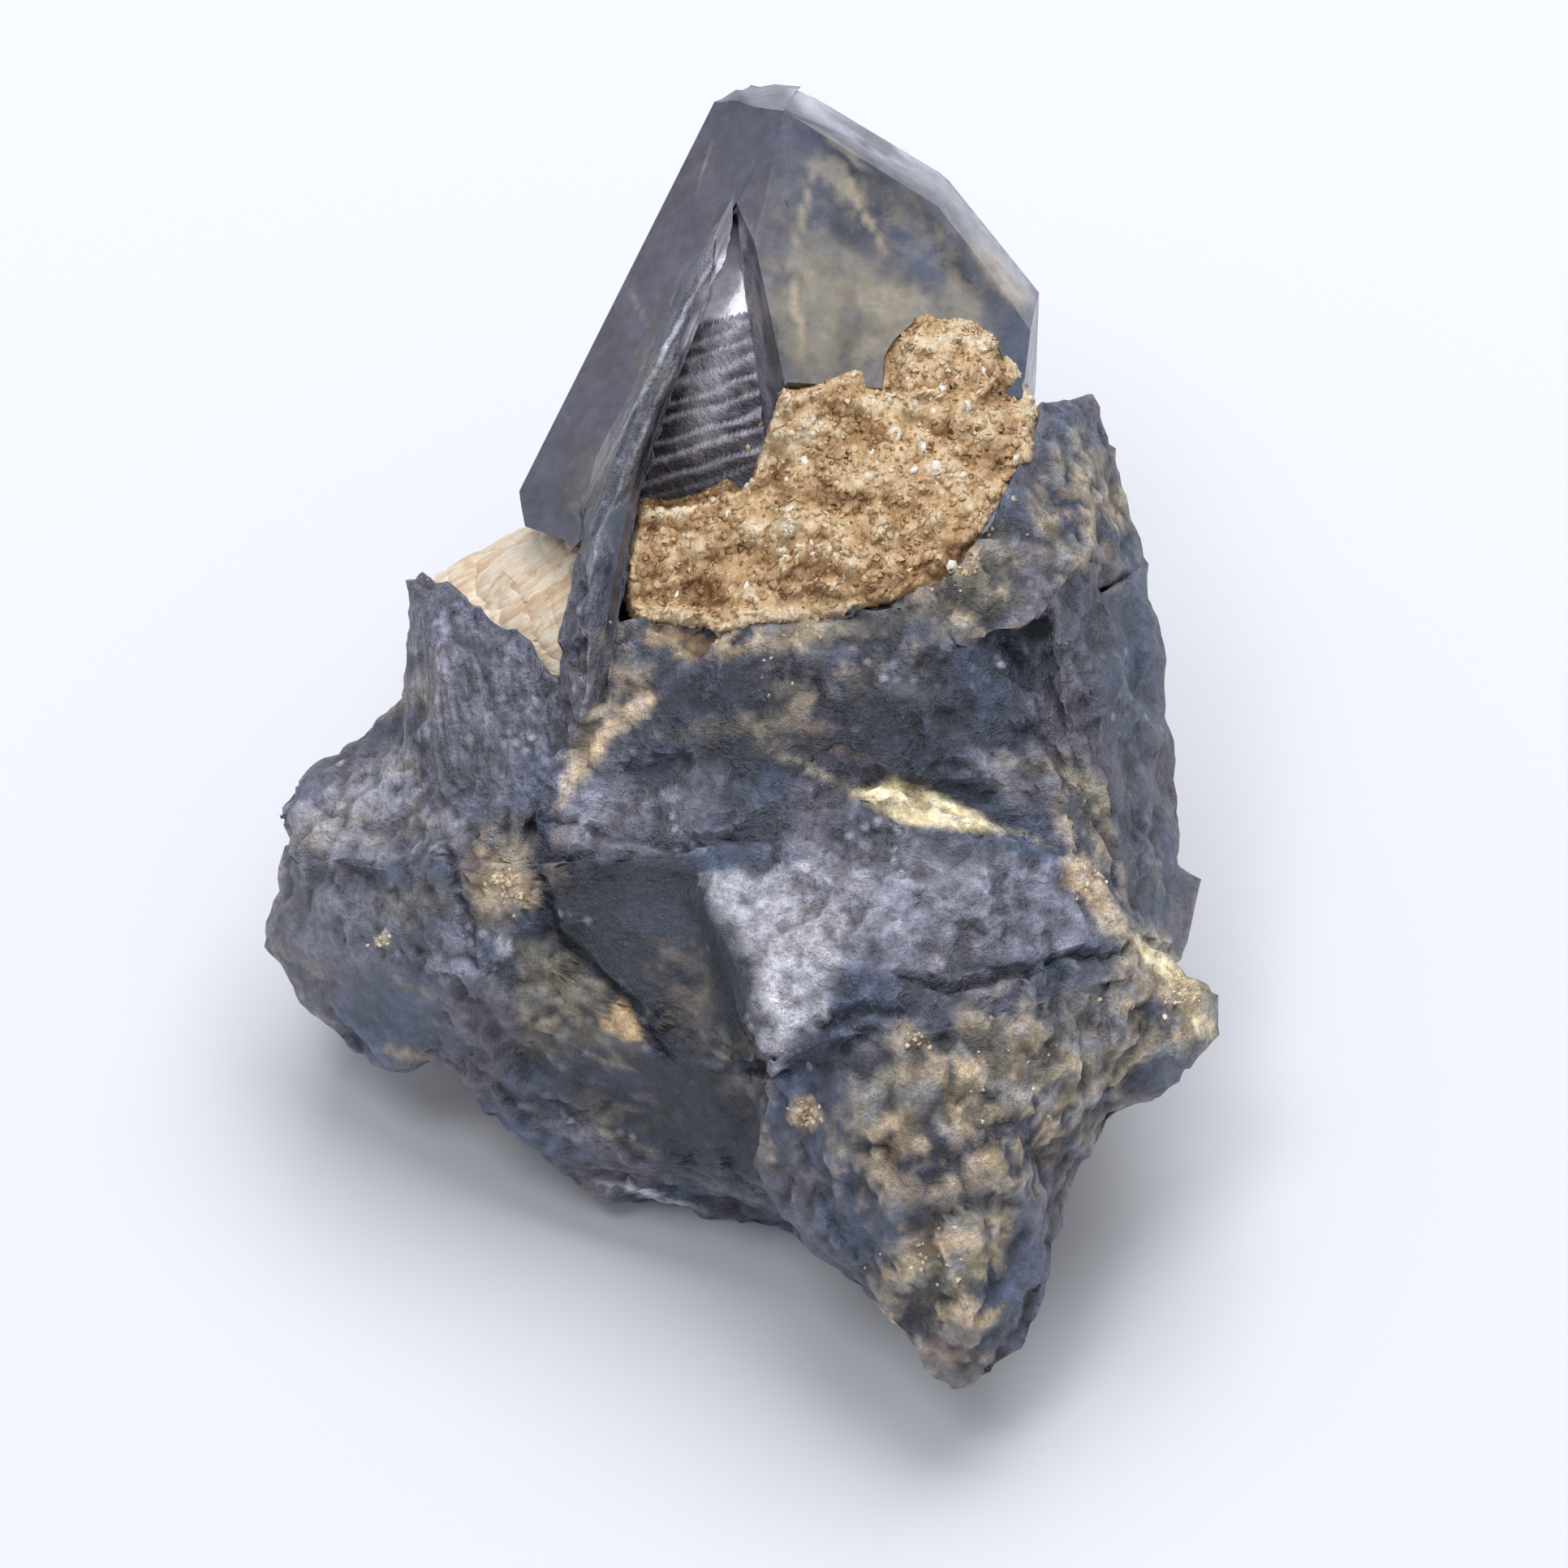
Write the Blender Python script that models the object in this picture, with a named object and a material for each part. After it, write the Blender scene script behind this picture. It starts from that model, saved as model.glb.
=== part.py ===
"""Cassiterite specimen: a twinned crystal, a thin blade and a rough mass of the same mineral,
with a pocket of mica and a wedge of feldspar between them.

The stone is drawn in face coordinates, in millimetres: x to the right and y up across its
display face, and z out of that face. The function at() scales them, tips the stone back to the
way it rests and sets it on the surface, in metres.
"""

from heapq import heapify, heappop, heappush
from itertools import count
from math import radians

import bmesh
import bpy
from mathutils import Matrix, Vector, noise

# Driving dimensions
SPECIMEN_LENGTH = 0.056  # from the twin's top to the prong's tip, along the face
DRAWN_LENGTH = 56.0  # the same, in the millimetres that the corners below are drawn in
LEAN = radians(40)  # how far the display face is tipped back from upright
FLOOR_DEPTH = 12.3  # from the face's origin down to the surface that the stone rests on
CENTRE_X = -1.97  # middle of the stone's box, in face millimetres across
CENTRE_Y = -0.51  # and along the surface it rests on
MATRIX_GAP = 0.35  # between the ore and the minerals that it holds

# Roughness, in millimetres
HACKLE_STEP = 2.9  # longest edge of a broken surface
HACKLE_HEIGHT = 0.55
HACKLE_SIZE = 3.2  # distance from one lump to the next
GRAIN_STEP = 2.2  # of the mica and the feldspar
GRAIN_DEPTH = 0.8
GRAIN_SIZE = 2.0
STRIATION_STRETCH = 7.0  # a striated surface is this much longer along its ridges

SCALE = SPECIMEN_LENGTH / DRAWN_LENGTH
TIP_BACK = Matrix.Rotation(LEAN, 3, "X")
SHIFT = Vector((-CENTRE_X, -CENTRE_Y, FLOOR_DEPTH))
BIG = 60.0  # a block to cut crystals from, in millimetres


def at(point):
    """A point in face millimetres, as metres in the stone's own frame."""
    return (TIP_BACK @ Vector(point) + SHIFT) * SCALE


def clear_scene():
    for obj in list(bpy.data.objects):
        bpy.data.objects.remove(obj)


def make_material(name, color, roughness, metallic=0.0):
    material = bpy.data.materials.new(name)
    material.use_nodes = True
    shader = material.node_tree.nodes["Principled BSDF"]
    shader.inputs["Base Color"].default_value = (*color, 1.0)
    shader.inputs["Roughness"].default_value = roughness
    shader.inputs["Metallic"].default_value = metallic
    return material


def make_object(name, bm, collection):
    """An object that holds bm, whose points are in face millimetres."""
    for vert in bm.verts:
        vert.co = at(vert.co)
    bmesh.ops.recalc_face_normals(bm, faces=bm.faces)
    mesh = bpy.data.meshes.new(name)
    bm.to_mesh(mesh)
    bm.free()
    obj = bpy.data.objects.new(name, mesh)
    collection.objects.link(obj)
    return obj


def hull(corners):
    """The lump that wraps the corners."""
    bm = bmesh.new()
    for corner in corners:
        bm.verts.new(corner)
    made = bmesh.ops.convex_hull(bm, input=bm.verts)
    inside = {v for v in made["geom_interior"] if isinstance(v, bmesh.types.BMVert)}
    bmesh.ops.delete(bm, geom=list(inside), context="VERTS")
    bmesh.ops.recalc_face_normals(bm, faces=bm.faces)
    return bm


def cut_crystal(inside, faces):
    """A crystal: a block round the point inside, cut flat along each face. A face is three points."""
    bm = bmesh.new()
    bmesh.ops.create_cube(bm, size=BIG, matrix=Matrix.Translation(inside))
    for a, b, c in faces:
        a, b, c = Vector(a), Vector(b), Vector(c)
        normal = (b - a).cross(c - a).normalized()
        if normal.dot(Vector(inside) - a) > 0:
            normal.negate()
        geometry = [*bm.verts, *bm.edges, *bm.faces]
        bmesh.ops.bisect_plane(bm, geom=geometry, plane_co=a, plane_no=normal, clear_outer=True)
        rim = [edge for edge in bm.edges if edge.is_boundary]
        bmesh.ops.edgeloop_fill(bm, edges=rim)
    return bm


def refine(bm, longest):
    """Halves the longest edge over and over, until none is longer than longest."""
    bmesh.ops.triangulate(bm, faces=bm.faces)
    order = count()
    waiting = [(-edge.calc_length(), next(order), edge) for edge in bm.edges]
    heapify(waiting)
    while waiting and -waiting[0][0] > longest:
        _, _, edge = heappop(waiting)
        half, middle = bmesh.utils.edge_split(edge, edge.verts[0], 0.5)
        made = [edge, half]
        for face in list(middle.link_faces):
            beside = {v for e in middle.link_edges for v in e.verts}
            opposite = next(v for v in face.verts if v not in beside)
            _, loop = bmesh.utils.face_split(face, middle, opposite)
            made.append(loop.edge)
        for piece in made:
            heappush(waiting, (-piece.calc_length(), next(order), piece))


def lumpiness(point, size, along=None):
    """From -1 to 1, smooth lumps of that size, drawn out along a direction if one is given."""
    point = Vector(point)
    if along is not None:
        direction = Vector(along).normalized()
        point -= direction * point.dot(direction) * (1 - 1 / STRIATION_STRETCH)
    broad = noise.noise(point / size)
    fine = noise.noise(point / size * 2.3 + Vector((7.1, 3.3, 5.7)))
    return max(-1.0, min(1.0, 1.2 * broad + 0.6 * fine))


def roughen(bm, step=HACKLE_STEP, height=HACKLE_HEIGHT, size=HACKLE_SIZE, along=None):
    """Breaks a lump's flat sides into hackles, or into ridges along a direction.

    Each point moves to or from the lump's middle, so that the surface never folds over itself.
    """
    middle = sum((v.co for v in bm.verts), Vector()) / len(bm.verts)
    refine(bm, step)
    for vert in bm.verts:
        outwards = (vert.co - middle).normalized()
        vert.co += outwards * height * lumpiness(vert.co, size, along)
    return bm


def grow(bm, distance):
    """Moves a hull's sides out by a distance."""
    bm.normal_update()
    moved = [v.co + v.normal * distance * min(2.0, v.calc_shell_factor()) for v in bm.verts]
    for vert, place in zip(bm.verts, moved):
        vert.co = place
    return bm


def joined(lumps):
    """The union of a few lumps, as one mesh."""
    made = []
    for bm in lumps:
        mesh = bpy.data.meshes.new("lump")
        bm.to_mesh(mesh)
        bm.free()
        obj = bpy.data.objects.new("lump", mesh)
        bpy.context.scene.collection.objects.link(obj)
        made.append(obj)
    for obj in made[1:]:
        add_modifier(made[0], "UNION", obj)
    graph = bpy.context.evaluated_depsgraph_get()
    bm = bmesh.new()
    bm.from_object(made[0], graph)
    for obj in made:
        bpy.data.objects.remove(obj)
    return bm


def pit(bm, step=GRAIN_STEP, depth=GRAIN_DEPTH, size=GRAIN_SIZE):
    """Roughens a lump inwards only, so that it stays inside its first shape."""
    bmesh.ops.dissolve_limit(bm, angle_limit=radians(0.5), verts=bm.verts, edges=bm.edges)
    refine(bm, step)
    bm.normal_update()
    moved = [v.co - v.normal * depth * (0.5 + 0.5 * lumpiness(v.co, size)) for v in bm.verts]
    for vert, place in zip(bm.verts, moved):
        vert.co = place
    return bm


# The twinned crystal: two halves that meet along a ridge, over a striated valley

TWIN_TOP = (0.0, 28.9, 3.5)
TWIN_PEAK = (0.0, 30.2, -0.5)
TWIN_LEFT_TOP = (-3.0, 29.4, 0.5)
TWIN_LEFT_FOOT = (-11.4, 12.6, 1.5)
RIDGE_FOOT = (-9.3, 10.4, 4.6)
RIGHT_SHOULDER = (6.6, 24.85, 2.5)
RIGHT_CORNER = (10.6, 19.5, 2.6)
VALLEY_HEAD = (-1.9, 23.7, 3.6)
VALLEY_FOOT = (-0.9, 16.7, 3.4)


def left_twin():
    """The long dark prism on the left."""
    inside = (-5.0, 20.0, 0.0)
    faces = [
        (TWIN_LEFT_TOP, TWIN_TOP, TWIN_LEFT_FOOT),  # the dark face
        (TWIN_LEFT_TOP, TWIN_LEFT_FOOT, (-5.0, 20.5, -5.5)),  # left side, at the outline
        (TWIN_TOP, RIDGE_FOOT, (-0.5, 28.0, -6.0)),  # right side, inside the twin
        ((-4.0, 24.0, -7.2), (-9.0, 14.0, -6.4), (-1.0, 20.0, -8.0)),  # back
        (TWIN_LEFT_TOP, TWIN_TOP, TWIN_PEAK),  # small facet at the top
        (TWIN_PEAK, TWIN_LEFT_TOP, (-1.0, 27.0, -6.8)),  # top, behind
        (TWIN_LEFT_FOOT, (-11.0, 10.9, 1.8), (-9.0, 13.0, -6.0)),  # foot, left
        ((-11.3, 11.2, 1.7), (-9.7, 10.1, 4.6), (-7.0, 11.0, -6.0)),  # foot, below
    ]
    return cut_crystal(inside, faces)


def right_twin():
    """The stained half on the right."""
    inside = (4.0, 18.0, 0.0)
    faces = [
        (TWIN_TOP, RIGHT_SHOULDER, (0.0, 17.25, 6.5)),  # the stained face
        (TWIN_TOP, RIGHT_SHOULDER, (5.9, 26.9, -1.2)),  # bright strip, upper
        (RIGHT_SHOULDER, (9.1, 21.7, 2.5), (8.3, 24.6, -1.2)),  # bright strip, lower
        ((9.1, 21.7, 2.5), RIGHT_CORNER, (10.9, 21.6, -1.0)),  # right corner
        (RIGHT_CORNER, (10.3, 17.0, 3.2), (10.9, 18.5, -4.0)),  # right side
        ((-1.6, 25.3, 4.9), (0.0, 17.25, 6.5), (-1.4, 19.8, 3.4)),  # strip beside the valley
        (TWIN_LEFT_TOP, TWIN_TOP, TWIN_PEAK),  # small facet at the top
        (TWIN_LEFT_TOP, TWIN_TOP, (-11.4, 12.6, 1.4)),  # top left, inside the twin
        ((-1.7, 30.0, 0.0), (-5.0, 14.0, 0.0), (-3.4, 20.0, -6.0)),  # left, inside the twin
        (TWIN_PEAK, (5.9, 26.9, -1.2), (3.0, 26.0, -7.0)),  # top, behind
        ((8.3, 24.6, -1.2), (10.9, 21.6, -1.0), (7.5, 21.0, -7.5)),  # right, behind
        ((0.0, 24.0, -7.6), (8.0, 20.0, -7.0), (2.0, 12.0, -7.4)),  # back
        ((-3.0, 10.5, 0.0), (6.0, 10.0, 0.0), (2.0, 10.2, -6.0)),  # foot, under the mica
    ]
    return cut_crystal(inside, faces)


def valley():
    """The striated floor between the two halves."""
    inside = (-3.0, 17.0, -2.0)
    faces = [
        (VALLEY_HEAD, VALLEY_FOOT, (-4.8, 14.5, 1.6)),  # the striated face
        ((1.0, 12.0, 0.0), (0.5, 22.0, 0.0), (1.0, 16.0, -6.0)),  # right, under the stained half
        ((-8.6, 12.0, 0.0), (-3.4, 22.0, 0.0), (-6.0, 17.0, -6.0)),  # left, under the ridge
        ((-3.0, 25.0, 0.0), (0.0, 25.0, 0.0), (-1.0, 25.0, -5.0)),  # top, inside the twin
        ((-7.0, 11.6, 0.0), (0.0, 11.0, 0.0), (-3.0, 11.4, -5.0)),  # foot, under the mica
        ((-6.0, 20.0, -5.0), (0.0, 20.0, -5.4), (-3.0, 12.0, -5.2)),  # back
    ]
    return cut_crystal(inside, faces)


def blade():
    """The thin striated blade, from the head of the valley down to the mass."""
    return hull([
        (-2.1, 25.2, 4.4), (-2.1, 23.9, 4.7),
        (-8.1, 13.9, 5.4), (-9.0, 10.0, 6.0), (-9.3, 7.0, 6.6), (-9.2, 3.0, 7.0),
        (-5.0, 18.5, 5.9), (-7.3, 13.6, 7.2), (-8.1, 9.0, 8.4), (-8.3, 3.0, 9.6),
        (-4.6, 17.2, 4.6), (-5.8, 12.8, 5.9), (-7.0, 8.6, 7.2), (-7.3, 3.6, 8.4),
        (-5.4, 17.0, 1.0), (-7.4, 13.0, 0.0), (-8.0, 9.0, 0.0), (-8.2, 2.5, 0.0),
    ])


def horn():
    """The striated pyramid at the left, with its tip up."""
    lump = hull([
        (-16.3, 8.8, 3.6), (-15.5, 9.0, 2.6), (-14.2, 8.2, 3.8), (-11.3, 6.3, 5.4),
        (-8.8, 3.1, 7.0), (-9.1, 1.4, 8.0), (-10.7, -0.3, 9.6), (-11.5, -3.4, 9.4),
        (-14.2, -0.8, 7.6), (-16.1, 1.5, 4.6), (-16.1, 5.0, 4.6),
        (-14.5, 6.0, -4.0), (-10.0, 4.0, -5.0), (-9.0, -3.0, -5.0), (-15.0, -1.0, -5.0),
    ])
    return roughen(lump, step=1.5, height=0.3, size=1.1, along=(-0.1, 1.0, -0.2))


def left_nodule():
    """The upper of the two lumps at the left edge."""
    return roughen(hull([
        (-22.4, -1.6, 1.8), (-21.6, -0.8, 0.8), (-19.8, 0.7, 0.4), (-17.6, 2.0, 1.0),
        (-16.2, 3.6, 2.0), (-14.0, 0.0, 6.4), (-13.4, -3.2, 7.9), (-17.0, -3.6, 6.4),
        (-20.8, -3.0, 3.8),
        (-19.0, -1.5, -4.0), (-15.0, 1.0, -6.0), (-13.0, -3.0, -8.0),
    ]))


def left_crystal():
    """The lower one, a stout crystal with a flat side."""
    return roughen(hull([
        (-21.5, -2.6, 2.0), (-22.4, -6.4, 1.2), (-21.9, -7.6, 0.8), (-18.3, -11.9, 0.4),
        (-17.0, -12.2, 1.0), (-14.3, -11.7, 3.0), (-19.4, -3.4, 4.8), (-18.9, -7.4, 5.4),
        (-14.0, -3.0, 7.9), (-13.0, -8.0, 9.0), (-13.4, -10.8, 6.8),
        (-20.0, -5.0, -4.5), (-16.5, -9.5, -4.5), (-11.0, -11.0, -4.0), (-12.0, -4.0, -8.5),
    ]), height=0.35)


def upper_mass():
    """The broken face under the mica."""
    return roughen(hull([
        (-8.6, 2.6, 7.8), (-7.0, 7.0, 7.4), (-1.5, 6.8, 9.6), (3.9, 8.3, 10.3),
        (8.2, 8.6, 10.2), (6.8, 6.4, 11.4),
        (10.6, 2.2, 11.3), (12.2, -1.2, 11.6), (9.0, -3.5, 12.4), (3.0, -3.0, 12.6),
        (-10.6, -1.6, 9.4), (-10.6, -4.4, 9.6), (-4.0, -4.4, 12.0),
        (-9.0, 3.0, -6.0), (10.0, 5.0, -6.0), (-10.0, -6.0, -6.0), (12.0, -6.0, -6.0),
    ]))


def front_mass():
    """The light broken face that stands out in front, with a sharp left edge."""
    return roughen(hull([
        (-4.1, -3.6, 12.0), (3.1, -0.6, 12.6), (9.2, -1.8, 13.0), (12.8, -3.6, 12.4),
        (15.2, -6.8, 10.6), (-2.2, -7.5, 14.4), (-0.8, -12.1, 15.6), (1.6, -11.0, 16.6),
        (5.0, -10.4, 17.0), (10.5, -9.2, 15.8), (14.4, -8.2, 13.0),
        (0.5, -12.5, 4.0), (12.0, -10.0, 2.0), (0.0, -4.0, 2.0), (13.0, -4.0, 0.0),
    ]))


def dark_face():
    """The smooth dark face to the left of it."""
    inside = (-5.0, -8.0, 4.0)
    faces = [
        ((-10.2, -4.4, 9.9), (-1.0, -12.8, 11.2), (-4.4, -3.6, 12.3)),  # the dark face
        ((-10.4, -5.9, 9.7), (-5.8, -10.6, 10.3), (-13.5, -12.0, 5.2)),  # green face below
        ((-5.8, -10.6, 10.3), (-1.2, -13.2, 11.0), (-8.5, -17.0, 3.4)),
        ((-13.2, -13.2, 4.6), (-9.6, -16.2, 2.4), (-11.0, -13.0, -6.0)),  # lower left side
        ((-9.6, -16.2, 2.4), (-3.4, -18.2, 0.2), (-8.0, -15.6, 6.0)),  # lower front
        ((-14.2, -6.0, 0.0), (-14.4, -11.0, 0.0), (-13.5, -6.0, -6.0)),
        ((-3.4, -3.0, 0.0), (-0.2, -13.0, 0.0), (-3.4, -3.0, 10.0)),  # right, under the light face
        ((-10.0, -3.4, 0.0), (0.0, -2.6, 0.0), (-5.0, -3.0, -6.0)),
        ((-10.0, -6.0, -9.5), (0.0, -6.0, -9.5), (-5.0, -14.0, -4.0)),
    ]
    return cut_crystal(inside, faces)


def lower_mass():
    """The underside at the lower left, down to the edge that the stone rests on."""
    return roughen(hull([
        (-14.0, -8.5, 6.0), (-13.0, -14.0, 3.8), (-9.7, -16.4, 2.2), (-8.2, -17.6, 0.9),
        (-3.2, -18.8, -0.3), (0.0, -18.4, 1.6), (0.5, -14.0, 9.0), (-6.0, -13.0, 8.0),
        (-12.0, -10.0, -8.5), (-2.0, -10.0, -8.5), (0.0, -16.0, -2.8),
    ]), height=0.4)


def waist():
    """The hollow between the left lumps and the dark face."""
    return roughen(hull([
        (-14.6, -0.6, 6.4), (-15.6, -3.2, 7.0), (-14.8, -8.0, 8.0), (-13.4, -4.0, 8.6),
        (-13.0, -8.0, 8.9), (-13.0, -10.6, 7.0),
        (-10.0, -2.0, 9.3), (-10.3, -5.0, 9.6), (-10.4, -9.0, 8.8), (-12.0, -12.8, 5.0),
        (-18.6, -3.2, 2.4), (-8.8, 0.2, 2.0),
        (-14.0, -2.0, -6.0), (-9.0, -2.0, -8.0), (-13.0, -10.0, -5.0), (-9.0, -12.0, -5.0),
    ]))


def right_hollow():
    """The hollow between the mica, the right crystal and the right side."""
    return roughen(hull([
        (7.4, 9.6, 9.4), (9.6, 12.0, 7.8), (13.0, 9.6, 7.2), (14.6, 6.0, 6.4),
        (13.6, 3.0, 9.6), (12.6, -2.0, 11.0), (10.4, 2.0, 10.0), (7.0, 6.4, 10.0),
        (10.0, 4.0, -4.0), (13.0, 8.0, -4.0), (9.4, 10.0, -4.0),
    ]))


def right_seam():
    """The seam between the front mass and the right side."""
    return roughen(hull([
        (11.0, 0.5, 11.2), (10.2, -2.4, 12.1), (12.0, -2.2, 11.9), (13.4, -2.4, 10.9), (15.4, -6.4, 9.9),
        (13.4, -7.2, 11.6), (14.2, 0.5, 8.4), (10.8, 2.0, 6.0), (9.5, -4.0, 0.0),
        (13.0, -1.0, 0.0), (13.5, -7.0, 0.0),
    ]), height=0.3)


def right_crystal():
    """The blunt stained crystal at the upper right."""
    return roughen(hull([
        (11.2, 16.8, 3.0), (13.3, 16.8, 1.8), (13.6, 14.6, 1.6), (14.8, 11.4, 1.6),
        (15.6, 9.0, 1.8), (10.5, 15.9, 5.4), (8.8, 12.8, 8.6), (7.0, 9.3, 10.8),
        (7.3, 6.0, 11.6), (10.8, 7.0, 11.0), (12.8, 9.6, 8.2),
        (11.5, 15.0, -3.0), (14.0, 9.0, -5.5), (8.0, 6.0, -6.0), (9.5, 13.0, -3.0),
    ]), height=0.35)


def right_side():
    """The dark flank at the right edge."""
    return roughen(hull([
        (15.6, 9.4, 2.0), (16.2, 5.8, 2.0), (16.5, 2.3, 2.0), (16.4, 0.0, 2.4),
        (16.9, -3.3, 2.8), (16.8, -6.8, 5.4), (11.4, 7.4, 10.4), (12.0, 2.0, 11.2),
        (13.4, -2.5, 11.0), (15.2, -6.9, 10.0),
        (13.5, 8.0, -6.0), (14.5, 0.0, -7.5), (14.0, -7.0, -5.0), (9.0, 0.0, -2.0),
    ]), height=0.35)


def right_spike():
    """The small spike on the right edge."""
    return hull([
        (16.2, -3.2, 3.6), (17.9, -4.1, 3.0), (17.1, -7.7, 4.6), (15.2, -3.0, 6.0),
        (15.4, -7.4, 7.0), (14.5, -5.0, -1.0), (16.6, -4.6, 1.2),
    ])


def corner_lump():
    """The yellow-coated corner at the lower right."""
    return roughen(hull([
        (15.0, -6.8, 10.4), (17.1, -7.6, 8.4), (18.4, -9.0, 8.6), (18.8, -10.8, 8.4),
        (17.4, -12.0, 9.0), (14.0, -11.0, 13.4), (13.8, -8.4, 13.0), (14.5, -9.5, 2.0),
    ]), step=1.4, height=0.35, size=1.6)


def prong():
    """The coated prong that reaches out in front, below."""
    return roughen(hull([
        (-0.4, -12.6, 13.9), (1.5, -11.4, 16.0), (5.0, -10.8, 17.2), (10.0, -9.8, 16.0),
        (3.6, -9.2, 16.4), (9.5, -8.4, 15.8), (13.8, -7.8, 12.9),
        (17.0, -11.8, 9.8), (16.2, -12.8, 9.2), (13.1, -16.0, 11.0), (11.2, -19.8, 11.4),
        (10.8, -22.0, 11.6), (10.2, -24.0, 11.8), (8.9, -25.4, 12.4), (7.2, -25.8, 12.4),
        (6.0, -24.4, 13.0), (3.9, -22.2, 13.2), (2.8, -20.8, 13.2), (0.4, -19.2, 11.0),
        (-0.7, -16.0, 11.6), (5.5, -17.0, 16.8), (9.4, -16.4, 16.4), (7.6, -22.0, 15.2),
        (3.0, -8.0, 13.6), (11.0, -7.0, 13.0),
        (1.0, -14.0, 2.0), (4.0, -17.0, 5.0), (10.0, -14.5, 3.0), (8.0, -22.0, 9.4),
    ]))


def core():
    """The mass behind, down to the broken surface that the stone rests on."""
    return roughen(hull([
        (-9.0, -17.4, -2.4), (-2.0, -18.8, -1.2), (6.5, -16.6, -3.0), (10.5, -9.0, -9.4),
        (8.0, -1.0, -16.2), (-6.0, -1.5, -15.8), (-12.0, -9.0, -9.4),
        (-10.0, 5.6, -9.0), (0.0, 8.5, -9.5), (8.0, 6.8, -9.5), (13.5, 1.5, -7.5),
        (-14.5, -2.0, -7.5), (-14.0, -8.0, -4.0), (13.0, -9.0, 0.0),
        (-5.0, 13.0, -6.0), (4.0, 13.0, -6.4), (-8.0, 3.5, 6.0), (8.0, 6.0, 8.0),
        (10.0, -10.0, 8.0), (-3.0, -14.0, 6.0),
    ]))


LUMPS = [
    left_twin, right_twin, valley, blade, horn, left_nodule, left_crystal, upper_mass,
    front_mass, dark_face, lower_mass, waist, right_hollow, right_seam, right_crystal,
    right_side, right_spike, corner_lump, prong,
]


# The minerals between the crystals

MICA_HULLS = [
    [
        (-7.0, 11.4, 5.2), (-7.1, 7.6, 6.6), (-5.9, 7.2, 7.8), (-2.3, 7.0, 9.6),
        (2.0, 7.2, 10.0), (4.0, 9.0, 10.0), (1.0, 13.4, 8.2), (-2.2, 13.1, 6.4),
        (-3.7, 12.4, 5.9),
        (0.0, 9.0, -3.5), (-5.5, 8.5, -1.0),
    ],
    [
        (-1.9, 12.6, 7.0), (-0.9, 15.6, 6.4), (-0.4, 16.7, 6.3), (4.0, 17.0, 6.5),
        (10.9, 16.7, 4.6), (10.6, 15.4, 6.2), (8.6, 11.6, 9.4), (6.8, 9.0, 10.7),
        (4.8, 8.0, 10.6), (0.0, 8.0, 9.9),
        (0.0, 10.0, -3.5), (8.0, 13.0, -4.0),
    ],
    [
        (4.7, 18.4, 4.6), (5.8, 19.9, 4.6), (9.0, 19.4, 4.4), (9.6, 17.4, 5.0),
        (8.0, 16.0, 7.0), (4.2, 16.4, 7.0), (6.0, 15.0, -2.0), (8.0, 16.0, -2.0),
    ],
]
FELDSPAR_HULL = [
    (-14.9, 8.9, -1.2), (-13.2, 10.0, -1.6), (-11.4, 10.8, -1.4), (-9.0, 10.6, 1.4),
    (-8.4, 8.0, 3.4), (-8.6, 3.0, 5.4), (-12.0, 4.6, 4.0), (-14.9, 7.4, 0.4),
    (-13.5, 7.0, -7.0), (-9.0, 8.6, -7.4), (-8.6, 3.0, -6.0),
]


def add_modifier(obj, operation, other):
    modifier = obj.modifiers.new(other.name, "BOOLEAN")
    modifier.operation = operation
    modifier.object = other


def build_mineral(name, hulls, material, parts, pockets):
    """A mineral, and the pocket in the ore that it fills."""
    mineral = make_object(name, pit(joined([hull(h) for h in hulls])), parts)
    mineral.data.materials.append(material)
    make_object(name + "_pocket", joined([grow(hull(h), MATRIX_GAP) for h in hulls]), pockets)


def floor_cutter(cutters):
    """Everything below the surface that the stone rests on."""
    bm = bmesh.new()
    bmesh.ops.create_cube(bm, size=1.0)
    mesh = bpy.data.meshes.new("floor_cutter")
    bm.to_mesh(mesh)
    bm.free()
    obj = bpy.data.objects.new("floor_cutter", mesh)
    side = 2 * BIG * SCALE
    obj.data.transform(Matrix.Translation((0, 0, -side / 2)) @ Matrix.Scale(side, 4))
    cutters.objects.link(obj)
    return obj


def new_collection(name, parent):
    collection = bpy.data.collections.new(name)
    parent.children.link(collection)
    return collection


def build_ore(lumps, pockets, material, parts):
    """The ore: the core and all its lumps in one, less the pockets and what is below the floor."""
    ore = make_object("cassiterite", core(), parts)
    ore.data.materials.append(material)
    for operation, operands in [("UNION", lumps), ("DIFFERENCE", pockets)]:
        modifier = ore.modifiers.new(operands.name, "BOOLEAN")
        modifier.operation = operation
        modifier.operand_type = "COLLECTION"
        modifier.collection = operands
        modifier.solver = "EXACT"
    return ore


def main():
    clear_scene()
    parts = new_collection("cassiterite_specimen", bpy.context.scene.collection)
    lumps = new_collection("ore_lumps", bpy.context.scene.collection)
    pockets = new_collection("ore_pockets", bpy.context.scene.collection)

    ore_look = make_material("cassiterite", (0.075, 0.078, 0.092), 0.35)
    mica_look = make_material("mica", (0.56, 0.38, 0.19), 0.45)
    feldspar_look = make_material("feldspar", (0.72, 0.52, 0.31), 0.6)

    for lump in LUMPS:
        make_object(lump.__name__, lump(), lumps)
    build_mineral("mica_matrix", MICA_HULLS, mica_look, parts, pockets)
    build_mineral("feldspar", [FELDSPAR_HULL], feldspar_look, parts, pockets)
    floor_cutter(pockets)
    build_ore(lumps, pockets, ore_look, parts)

    for helper in [*lumps.objects, *pockets.objects]:
        helper.hide_render = True
        helper.display_type = "WIRE"


if __name__ == "__main__":
    main()
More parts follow.
